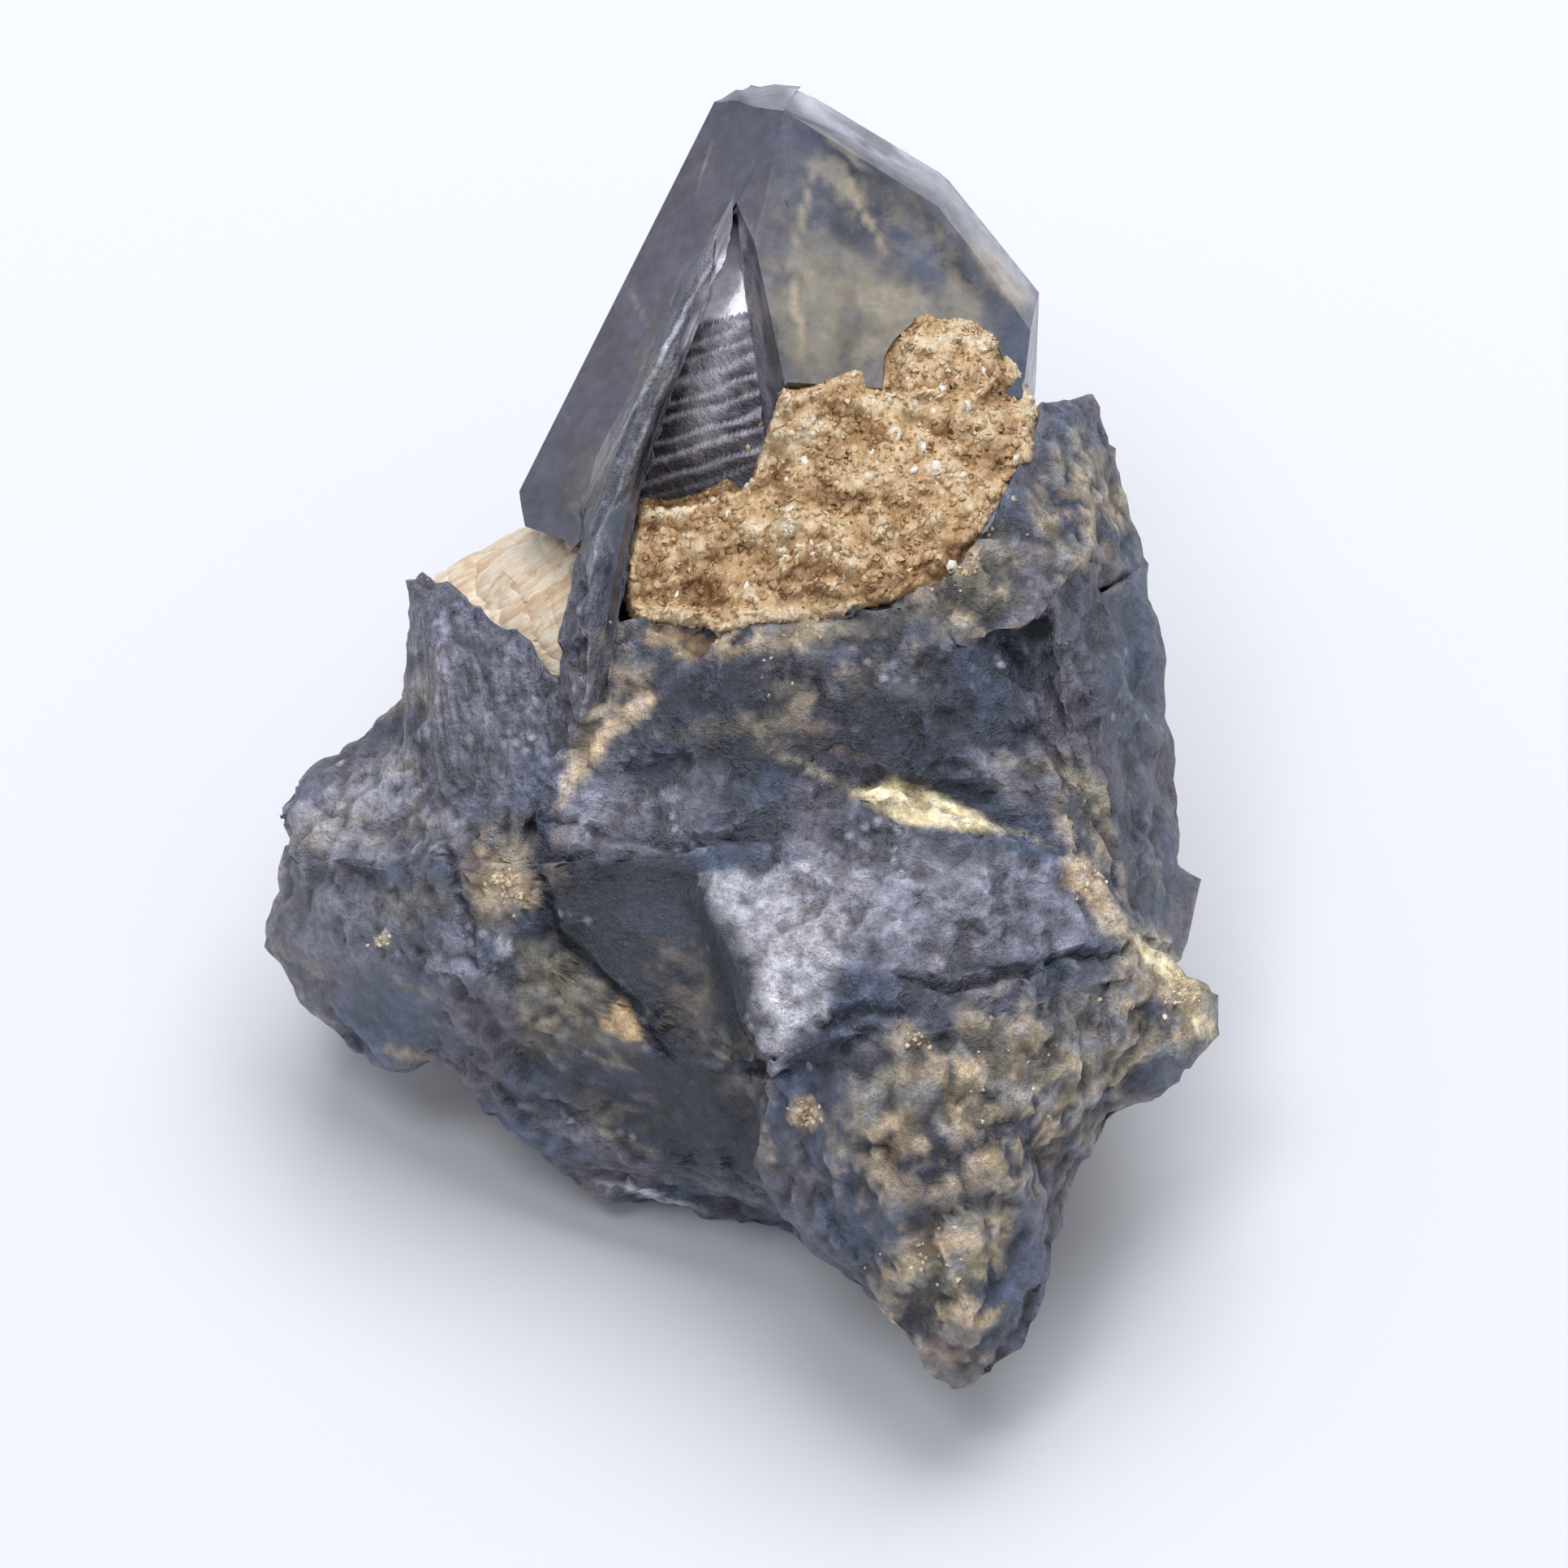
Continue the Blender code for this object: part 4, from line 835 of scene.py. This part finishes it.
# Cracks: (depth, width, corners)
GROOVES = [
    (0.5, 0.3, [(5, -8.2), (7.5, -8.5), (10, -7.9), (12, -7.4), (14.6, -7)]),
    (0.35, 0.4, [(-0.9, -12), (1, -10.4), (3.4, -9.6), (5.2, -9.4)]),
    (0.5, 0.5, [(3.6, 0.2), (6, -0.1), (8.6, -0.5)]),
    (0.3, 0.25, [(11.2, 4.4), (12.2, 1.6), (13.2, -1.4), (14.2, -4.2)]),
    (0.3, 0.25, [(-10.6, -1.4), (-7, -2.2), (-3, -2.6), (-0.4, -2.2)]),
    (0.25, 0.25, [(-10.4, -4), (-9.4, -6.8), (-6.8, -9), (-4.6, -11.6)]),
    (0.3, 0.25, [(-14.6, -2.2), (-13.6, -5), (-13.2, -8)]),
]

# Places drawn aside: (x, y, half length, half width, turn, shift across, shift up)
PULLS = [
    (14.2, -16.6, 3.4, 3.4, 0, -1.7, 0.3), (12.2, -21.5, 2.2, 2.2, 0, -0.5, 0),
    (0.4, -21.6, 2, 2, 0, 0.5, 0.3), (-4.9, 13, 7.6, 1.5, 76, -1.1, 0),
    (-9.7, 10.9, 1.1, 1, 0, 0.95, 0.15), (-8, 11, 0.8, 0.8, 0, -0.5, 0),
    (-2, 29.6, 0.5, 0.5, 0, 0, 0.3), (-1.2, 30.5, 0.6, 0.6, 0, 0.1, -0.25),
    (0.8, 30.5, 0.6, 0.6, 0, 0, -0.3),
]


def grooves_at(points):
    """How deep the cracks are at each point."""
    x = points[:, 0] + 0.3 * noise_at(points, 1.6, 51)
    y = points[:, 1] + 0.3 * noise_at(points, 1.6, 52)
    total = np.zeros(len(points))
    for depth, width, corners in GROOVES:
        for side in zip(corners[:-1], corners[1:]):
            near = smoothstep(1, 0.2, line_distance(x, y, *side) / width)
            total = np.maximum(total, depth * near)
    return total * (points[:, 2] > -1)


def pulled(points):
    offsets = np.zeros_like(points)
    for x, y, length, width, turn, across, up in PULLS:
        c, s = cos(radians(turn)), sin(radians(turn))
        dx, dy = points[:, 0] - x, points[:, 1] - y
        weight = np.exp(-(((dx * c + dy * s) / length) ** 2) - ((dy * c - dx * s) / width) ** 2)
        if y > 0:
            weight = weight * smoothstep(-6, -2, points[:, 2])
        offsets[:, 0] += weight * across
        offsets[:, 1] += weight * up
    return offsets


def on_horn(points):
    x, y, z = points.T
    horn = smoothstep(-17.5, -15, x) * smoothstep(-8.6, -9.6, x) * smoothstep(-2.5, 0.5, y)
    return horn * smoothstep(-3, 2, z) * smoothstep(11, 8, y)


def striation(points, horn, blade):
    """Ridges down the horn and the blade."""
    x, y, z = points.T
    ridges = noise_at(np.stack([(x + 0.12 * y) / 0.42, y / 5, z / 2.5], axis=1), 1)
    fibres = noise_at(np.stack([(x - 0.36 * y) / 0.35, y / 6, z], axis=1), 1)
    return 0.16 * horn * ridges + 0.12 * blade * fibres


def valley_height(points):
    """How high the valley's floor is at each place."""
    a, b, c = np.array(VALLEY)
    normal = np.cross(b - a, c - a)
    return a[2] - (points[:, :2] - a[:2]) @ normal[:2] / normal[2]


def valley_level(points):
    """How far up the valley, across the lines of its steps."""
    return points[:, 1] - 0.28 * points[:, 0]


def valley_steps(points):
    """(offsets, where the edges are, which get painted highlights) of the growth steps across the
    valley's floor.
    """
    level = valley_level(points)
    wander = noise_at(points / [2.5, 0.9, 1] * [1, 1, 0], 1)
    phase = (level + 0.35 * wander) / VALLEY_STEP
    tread = phase - np.floor(phase)
    height = 0.17 * (smoothstep(0, 0.75, tread) - smoothstep(0.75, 1, tread)) - 0.1
    smooth = level > VALLEY_STEPS_FROM
    offsets = on_valley(points)[1] * np.where(smooth, 0, height)[:, None]
    across, up = TIPPED
    tipped = across * (points[:, 0] + 3) + up * (level - VALLEY_STEPS_FROM)
    offsets[:, 2] -= np.where(smooth, tipped, 0)
    edge = smoothstep(0.5, 0.8, tread) * smoothstep(1, 0.9, tread)
    return offsets, edge * ~smooth * smoothstep(13.5, 15.5, level)


# Mica and feldspar

GAP = 0.35  # between these solids and the ore in the CAD model, closed here

# Where the mica shows, as corners on the display face
MICA_EDGE = np.array([
    (4.7, 18.2), (5.4, 19.3), (7.4, 19.6), (8.8, 19), (10.4, 16.9), (9.9, 14.4), (8.6, 11.6),
    (6.2, 8.7), (1.2, 7.5), (-2.3, 6.9), (-4.6, 7.7), (-7.6, 6.9), (-7.4, 10.4), (-6.2, 11.5),
    (-3.2, 11.9), (-1, 14.2), (-0.3, 16.3), (3.3, 17.1),
])
# Kept clear of mica
VALLEY_MOUTH = np.array([
    (-6.6, 12.6), (-5.2, 11.8), (-3, 12.2), (-1.4, 14), (-0.6, 16.4), (-0.6, 22), (-6.6, 22),
])
LOBE = (7.2, 17.6, 4.3, 2)  # the mica that climbs the twin: x, y, radius, height
MICA_GRID = (-8.2, 11.6, 5.6, 21.2, 0.12)  # x from, to, y from, to, and step
FAR_ABOVE = 40.0  # where the rays that look for a surface start
NOWHERE = -30.0  # the height where a ray finds nothing
FOUND = -20.0  # surfaces under the mica lie above this


def shifted(grid, reach):
    """The grid moved by each offset up to reach."""
    rows, columns = grid.shape
    padded = np.pad(grid, reach, mode="edge")
    for i in range(2 * reach + 1):
        for j in range(2 * reach + 1):
            if np.hypot(i - reach, j - reach) <= reach + 0.3:
                yield padded[i:i + rows, j:j + columns]


def looked_at(tree, x, y):
    """The point of the mesh under a place, seen from the camera, or None."""
    return tree.ray_cast(Vector((x, y, FAR_ABOVE)), Vector((0, 0, -1)))[0]


def heights_over(tree, x, y):
    hits = [looked_at(tree, a, b) for a, b in zip(x.ravel(), y.ravel())]
    return np.array([NOWHERE if hit is None else hit.z for hit in hits]).reshape(x.shape)


def grid_points(x, y, z):
    return np.stack([x, y, z], axis=-1).reshape(-1, 3)


def grid_solid(x, y, top, keep, depth):
    """A closed mesh under the kept part of a grid of heights: (points, faces)."""
    rows, columns = x.shape
    count = rows * columns
    index = np.arange(count).reshape(rows, columns)
    cell = keep[:-1, :-1] & keep[1:, :-1] & keep[:-1, 1:] & keep[1:, 1:]
    corners = index[:-1, :-1], index[:-1, 1:], index[1:, 1:], index[1:, :-1]
    a, b, c, d = (corner[cell] for corner in corners)
    upper = np.vstack([np.stack([a, b, c], axis=1), np.stack([a, c, d], axis=1)])
    edges = np.vstack([upper[:, [0, 1]], upper[:, [1, 2]], upper[:, [2, 0]]])
    keys = edges[:, 0] * count + edges[:, 1]
    first, second = edges[~np.isin(keys, edges[:, 1] * count + edges[:, 0])].T
    walls = [np.stack([second, first, first + count], axis=1)]
    walls += [np.stack([second, first + count, second + count], axis=1)]
    faces = np.vstack([upper, upper[:, ::-1] + count] + walls)
    points = grid_points(x, y, top)
    points = np.vstack([points, points - [0, 0, depth]])
    used, faces = np.unique(faces, return_inverse=True)
    return points[used], faces.reshape(-1, 3)


def mica_sheet(ore_tree):
    """The mica's crumbly top, run out over the ore around it: (points, faces)."""
    x0, x1, y0, y1, step = MICA_GRID
    x, y = np.meshgrid(np.arange(x0, x1, step), np.arange(y0, y1, step))
    mica_tree = ray_tree(*node_arrays("mica_matrix"))
    ore_z, mica_z = heights_over(ore_tree, x, y), heights_over(mica_tree, x, y)
    places = grid_points(x, y, 0 * x)
    wander = 0.35 * noise_at(places, 1.5, 41) + 0.25 * noise_at(places, 0.6, 42)
    wander = wander.reshape(x.shape)
    wide = inside_polygon(x + wander, y - wander, MICA_EDGE)
    plain = (mica_z > ore_z - 0.1) & (mica_z > FOUND)
    shown = plain | (wide & (mica_z < FOUND) & (ore_z > FOUND))
    shown &= ~inside_polygon(x + 0.4 * wander, y - 0.4 * wander, VALLEY_MOUTH)
    lobe_x, lobe_y, radius, lift = LOBE
    lift = lift * smoothstep(1, 0.7, np.hypot(x - lobe_x, y - lobe_y) / radius)
    shown |= wide & (lift > 0.5) & (ore_z > FOUND)
    # The surface without its narrow gaps
    closed = np.max(list(shifted(np.maximum(ore_z, mica_z), 5)), axis=0)
    closed = np.min(list(shifted(closed, 5)), axis=0)
    # The mica's own height, run out over its neighbours
    level = np.where(plain, mica_z, np.nan)
    for _ in range(14):
        grown = np.nanmean(list(shifted(level, 1)), axis=0)
        level = np.where(np.isnan(level), grown, level)
    level = np.where(np.isnan(level), closed, level)
    shown = np.max(list(shifted(shown.astype(float), 3)), axis=0)
    shown *= closed < level + 0.7 + lift
    cover = smoothstep(0.15, 0.75, np.mean(list(shifted(shown, 4)), axis=0))
    base = np.minimum(closed, level + 0.3 + lift)
    places = grid_points(x, y, base)
    relief = 0.8 * noise_at(places, 2.6, 43) + 0.5 * knobs_at(places, 2.1, 44)
    relief += 0.3 * knobs_at(places, 0.9, 45) + 0.3 * grains_at(places, 1.1, 46)
    top = base - 0.5 + cover * (0.7 + relief.reshape(x.shape))
    return grid_solid(x, y, top, cover > 0.01, 0.8)


# Brown and pale streaks: (x, y, half length, half width, turn, shift of the tint). The brown ones,
# shifted below 0, are painted shade.
MICA_STREAKS = [
    (-4.2, 8.3, 2, 0.4, 12, -0.4), (-5.9, 9, 1.3, 0.7, 20, -0.15), (-4.6, 11, 1.5, 0.22, -8, -0.4),
    (-4, 9.9, 1.4, 0.5, 30, 0.2), (-1, 12.8, 2.2, 0.3, 10, -0.3), (2.6, 12.4, 2.4, 0.35, -4, -0.3),
    (6.4, 9.2, 2.2, 0.8, 20, -0.35), (1.4, 8.8, 2.6, 0.3, 4, -0.25), (4.6, 14.8, 2.4, 0.3, -10, -0.2),
    (7, 18, 2.6, 1.6, 0, 0.12), (0, 14.6, 2, 0.7, 30, 0.15), (3, 10.6, 2, 0.5, 0, 0.15),
    (9.2, 14.6, 1.6, 0.7, 60, -0.2), (-2.2, 7.7, 2.4, 0.3, 0, -0.3),
]


def mica_ground(ore_tree):
    points, faces = mica_sheet(ore_tree)
    hollow = hollowness(points, faces, 10)
    # Painted shade and light: the tint darker in the hollows and paler on the lumps, and a little paler
    # towards the top
    tint = 0.3 - hollow + 0.3 * noise_at(points, 2.6, 47) + 0.2 * noise_at(points, 0.9, 48)
    tint += 0.3 * noise_at(points * [0.5, 1.1, 1], 1.3, 49) + 0.008 * (points[:, 1] - 10)
    warp = noise_at(points, 1, 50)
    for *place, shift in MICA_STREAKS:
        tint += shift * stroke_weight(points, warp, *place)
    tint = np.clip(tint, 0, 0.72)
    piece = make_mesh("mica_ground", points, faces, [("tint", tint)], sharp=radians(50))
    piece.data.materials.append(mica_material("mica_ground", ground=True))
    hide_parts("mica_matrix")
    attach(piece, "root")
    front = point_normals(points, faces)[faces].mean(axis=1)[:, 2] > 0.1
    return points, faces[front], tint


def scatter(points, faces, count, ore_tree):
    """Places on a mesh that the ore doesn't cover: (points, normals, corners that they are next to)."""
    normals = face_normals(points, faces)
    areas = np.linalg.norm(normals, axis=1)
    chosen = rng.choice(len(faces), count, p=areas / areas.sum())
    u, v = rng.random((2, count))
    turn = u + v > 1
    u[turn], v[turn] = 1 - u[turn], 1 - v[turn]
    a, b, c = (points[faces[chosen, k]] for k in range(3))
    places = a + (b - a) * u[:, None] + (c - a) * v[:, None]
    normals = unit(normals[chosen])
    rays = [ore_tree.ray_cast(Vector(p), Vector(n), OPEN_AIR) for p, n in zip(places, normals)]
    bare = np.array([hit is None for hit, *_ in rays])
    return places[bare], normals[bare], faces[chosen, 0][bare]


def any_across(normals):
    """(two directions across each normal)."""
    helper = np.where(np.abs(normals[:, :1]) < 0.8, [[1, 0, 0]], [[0, 1, 0]])
    first = unit(np.cross(normals, helper))
    return first, np.cross(normals, first)


def plates(places, normals, radii, thicknesses):
    """Six-sided plates as one mesh: (points, faces)."""
    count = len(places)
    first, second = any_across(normals)
    turn = rng.uniform(0, 2 * pi, count)
    stretch = rng.uniform(0.65, 1, count)
    rings = []
    for side in (-0.5, 0.5):
        for k in range(6):
            angle = turn + k * pi / 3
            reach = radii * rng.uniform(0.85, 1.1, count)
            point = places + first * (reach * np.cos(angle))[:, None]
            point += second * (reach * stretch * np.sin(angle))[:, None]
            rings.append(point + normals * (side * thicknesses)[:, None])
    points = np.stack(rings, axis=1).reshape(-1, 3)
    shape = [(0, k + 1, k) for k in range(1, 5)] + [(6, 6 + k, 7 + k) for k in range(1, 5)]
    for k in range(6):
        m = (k + 1) % 6
        shape += [(k, m, 6 + m), (k, 6 + m, 6 + k)]
    faces = (np.arange(count)[:, None, None] * 12 + np.array(shape)).reshape(-1, 3)
    return points, faces


def crumbs(places, radii):
    """Angular grains as one mesh: (points, faces)."""
    count = len(places)
    corners = unit(np.array([
        (1, 1, 1), (1, -1, -1), (-1, 1, -1), (-1, -1, 1), (1.3, 0, 0), (-1.3, 0, 0),
        (0, 1.3, 0), (0, -1.3, 0), (0, 0, 1.3), (0, 0, -1.3),
    ], float))
    shape = np.array([
        (0, 4, 6), (0, 6, 8), (0, 8, 4), (1, 7, 4), (1, 4, 9), (1, 9, 7), (2, 5, 9), (2, 9, 6),
        (2, 6, 5), (3, 5, 8), (3, 8, 7), (3, 7, 5), (4, 7, 8), (4, 9, 6), (5, 7, 9), (5, 6, 8),
    ])
    turned = unit(rng.normal(size=(count, 3)))
    second, third = any_across(turned)
    axes = np.stack([turned, second, third], axis=1)
    sizes = radii[:, None] * rng.uniform(0.6, 1.2, (count, 3))
    local = corners[None] * rng.uniform(0.8, 1.15, (count, len(corners), 1)) * sizes[:, None]
    points = places[:, None] + np.einsum("nij,njk->nik", local, axes)
    faces = (np.arange(count)[:, None, None] * len(corners) + shape).reshape(-1, 3)
    return points.reshape(-1, 3), faces


def loose_piece(name, shape, tints, material):
    """One piece of many small solids, each with its own tint."""
    points, faces = shape
    tint = np.repeat(tints, len(points) // len(tints))
    piece = make_mesh(name, points, faces, [("tint", tint)])
    piece.data.materials.append(material)
    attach(piece, "root")


FLAKES = 4800
FLAKE_RADIUS = (0.07, 0.34)
# Places with more flakes painted white, as painted glints
BRIGHT_FLAKES = [(0.7, 13.8), (-0.7, 10.8), (-0.2, 10), (6.2, 13.8), (7.6, 16.4), (-2.4, 9.4)]
GRAINS = 1200
GRAIN_RADIUS = (0.08, 0.22)
OPEN_AIR = 1.0  # a flake or grain has this much room above it


def mica_flakes(ground, ore_tree):
    points, faces, tint = ground
    places, normals, near = scatter(points, faces, FLAKES, ore_tree)
    count = len(places)
    tilt = unit(normals + 0.4 * unit(rng.normal(size=normals.shape)))
    small, large = FLAKE_RADIUS
    radii = small + (large - small) * rng.random(count) ** 2.2
    places = places + normals * rng.uniform(-0.09, 0, count)[:, None]
    tints = np.clip(tint[near] + rng.normal(0.04, 0.1, count), 0.05, 0.8)
    # Some flakes are painted white: painted glints
    away = np.min([distance_from(places, x, y) for x, y in BRIGHT_FLAKES], axis=0)
    painted_glint = rng.random(count) < 0.015 + 0.16 * np.exp(-(away**2) / 0.8)
    tints[painted_glint] = 1
    shape = plates(places, tilt, radii, radii * rng.uniform(0.15, 0.4, count))
    loose_piece("mica_flakes", shape, tints, mica_material("mica_flakes"))
    places, _, near = scatter(points, faces, GRAINS, ore_tree)
    count = len(places)
    tints = np.clip(tint[near] + rng.normal(0.02, 0.12, count), 0, 0.8)
    shape = crumbs(places, rng.uniform(*GRAIN_RADIUS, count))
    loose_piece("mica_grains", shape, tints, mica_material("mica_grains"))


def feldspar_piece():
    """The wedge, with steps along its cleavage, out to the ore around it."""
    points, faces = node_arrays("feldspar")
    points, faces, _ = refine(points, faces, np.full(len(faces), 0.3))
    normals = point_normals(points, faces)
    cleavage = unit(np.array([0.55, 0.75, 0.35]))
    step = (points @ cleavage + 0.5 * noise_at(points, 2.5, 1)) / 0.9
    terrace = smoothstep(0, 0.25, step - np.floor(step)) - 0.5
    height = GAP + 0.08 + 0.12 * terrace + 0.12 * noise_at(points, 1.2, 2)
    moved = points + normals * height[:, None]
    moved[:, 1] += 0.6 * np.exp(-(distance_from(moved, -9, 10) ** 2) / 4)  # up to the twin
    piece = make_mesh("feldspar_wedge", moved, faces, sharp=radians(35))
    piece.data.materials.append(feldspar_material())
    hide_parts("feldspar")
    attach(piece, "root")


# Small patches of grains on the ore: (x, y, spread, count, grain radius, lowest and highest tint)
PATCHES = [
    (0.9, -14, 0.5, 24, 0.15, 0.6, 0.85), (-11.8, -4.3, 0.8, 26, 0.14, 0.5, 0.85),
    (13, -4.2, 0.8, 14, 0.13, 0.6, 0.9), (17.1, -9, 1, 24, 0.14, 0.6, 0.95),
    (5.5, -10.8, 0.6, 12, 0.14, 0.5, 0.8), (-1, 6.3, 2.6, 16, 0.12, 0.4, 0.7),
    (9.6, -12.4, 3.4, 14, 0.12, 0.7, 0.95), (-17.2, -6.7, 0.3, 7, 0.13, 0.7, 0.9),
    (7.4, 9.6, 1.4, 50, 0.13, 0.3, 0.6), (8, 12, 1.6, 26, 0.13, 0.4, 0.7),
    (6, -20, 1.8, 20, 0.12, 0.7, 0.95),
]


def ore_patches(ore_tree):
    """Grains of mica and limonite that stick to the ore."""
    places, radii, tints = [], [], []
    for x, y, width, count, radius, low, high in PATCHES:
        for _ in range(count):
            along, across = rng.normal(0, width * 0.6), rng.normal(0, width * 0.5)
            hit = looked_at(ore_tree, x + along, y + across)
            if hit is not None:
                places.append(hit)
                radii.append(radius * rng.uniform(0.6, 1.25))
                tints.append(rng.uniform(low, high))
    shape = crumbs(np.array(places), np.array(radii))
    loose_piece("limonite_grains", shape, np.array(tints), mica_material("limonite"))


# Floor, lights and camera


def direction(x, y, z):
    """A direction in face coordinates, in the frame."""
    return Vector(TIP_BACK @ np.array([x, y, z], float)).normalized()


def floor():
    half = 1.5
    mesh = bpy.data.meshes.new("floor")
    corners = [(-half, -half, 0), (half, -half, 0), (half, half, 0), (-half, half, 0)]
    mesh.from_pydata(corners, [], [(0, 1, 2, 3)])
    obj = add_object("floor", mesh)
    material = bpy.data.materials.new("floor")
    material.use_nodes = True
    shader = material.node_tree.nodes["Principled BSDF"]
    shader.inputs["Base Color"].default_value = (0.83, 0.84, 0.87, 1)
    shader.inputs["Roughness"].default_value = 0.8
    obj.data.materials.append(material)


def aimed(obj, towards, distance):
    """Puts a light or the camera that many metres from the stone, facing it."""
    obj.location = Vector(to_frame([0, 0, 0])) + towards * distance
    obj.rotation_euler = (-towards).to_track_quat("-Z", "Y").to_euler()
    return obj


def softbox(name, towards, distance, size, power):
    light = bpy.data.lights.new(name, "AREA")
    light.shape = "SQUARE"
    light.size = size
    light.energy = power
    light.color = (0.95, 0.965, 1)
    aimed(add_object(name, light), towards, distance)


def surroundings():
    world = bpy.data.worlds.new("studio")
    world.use_nodes = True
    background = world.node_tree.nodes["Background"]
    background.inputs["Color"].default_value = (0.93, 0.95, 1, 1)
    background.inputs["Strength"].default_value = 0.43
    bpy.context.scene.world = world
    softbox("key", Vector((0.1, 0.3, 0.95)).normalized(), distance=0.6, size=0.5, power=2.85)
    # The valley's mirror shows this one to the camera
    softbox("spark", direction(-0.257, 0.353, 0.899), distance=0.71, size=0.2, power=0.9)
    bpy.context.scene.view_settings.view_transform = "Standard"
    bpy.context.scene.view_settings.look = "None"


def camera():
    data = bpy.data.cameras.new("camera")
    data.sensor_width = SENSOR
    data.lens = SENSOR * CAMERA_DISTANCE / VIEW_WIDTH
    data.clip_start = 0.01
    data.clip_end = 20
    obj = add_object("camera", data)
    bpy.context.scene.camera = aimed(obj, direction(0, 0, 1), CAMERA_DISTANCE * MM)


ore = ore_piece()
ore_tree = ray_tree(*mesh_arrays(ore.data))
ground = mica_ground(ore_tree)
mica_flakes(ground, ore_tree)
feldspar_piece()
ore_patches(ore_tree)
floor()
surroundings()
camera()
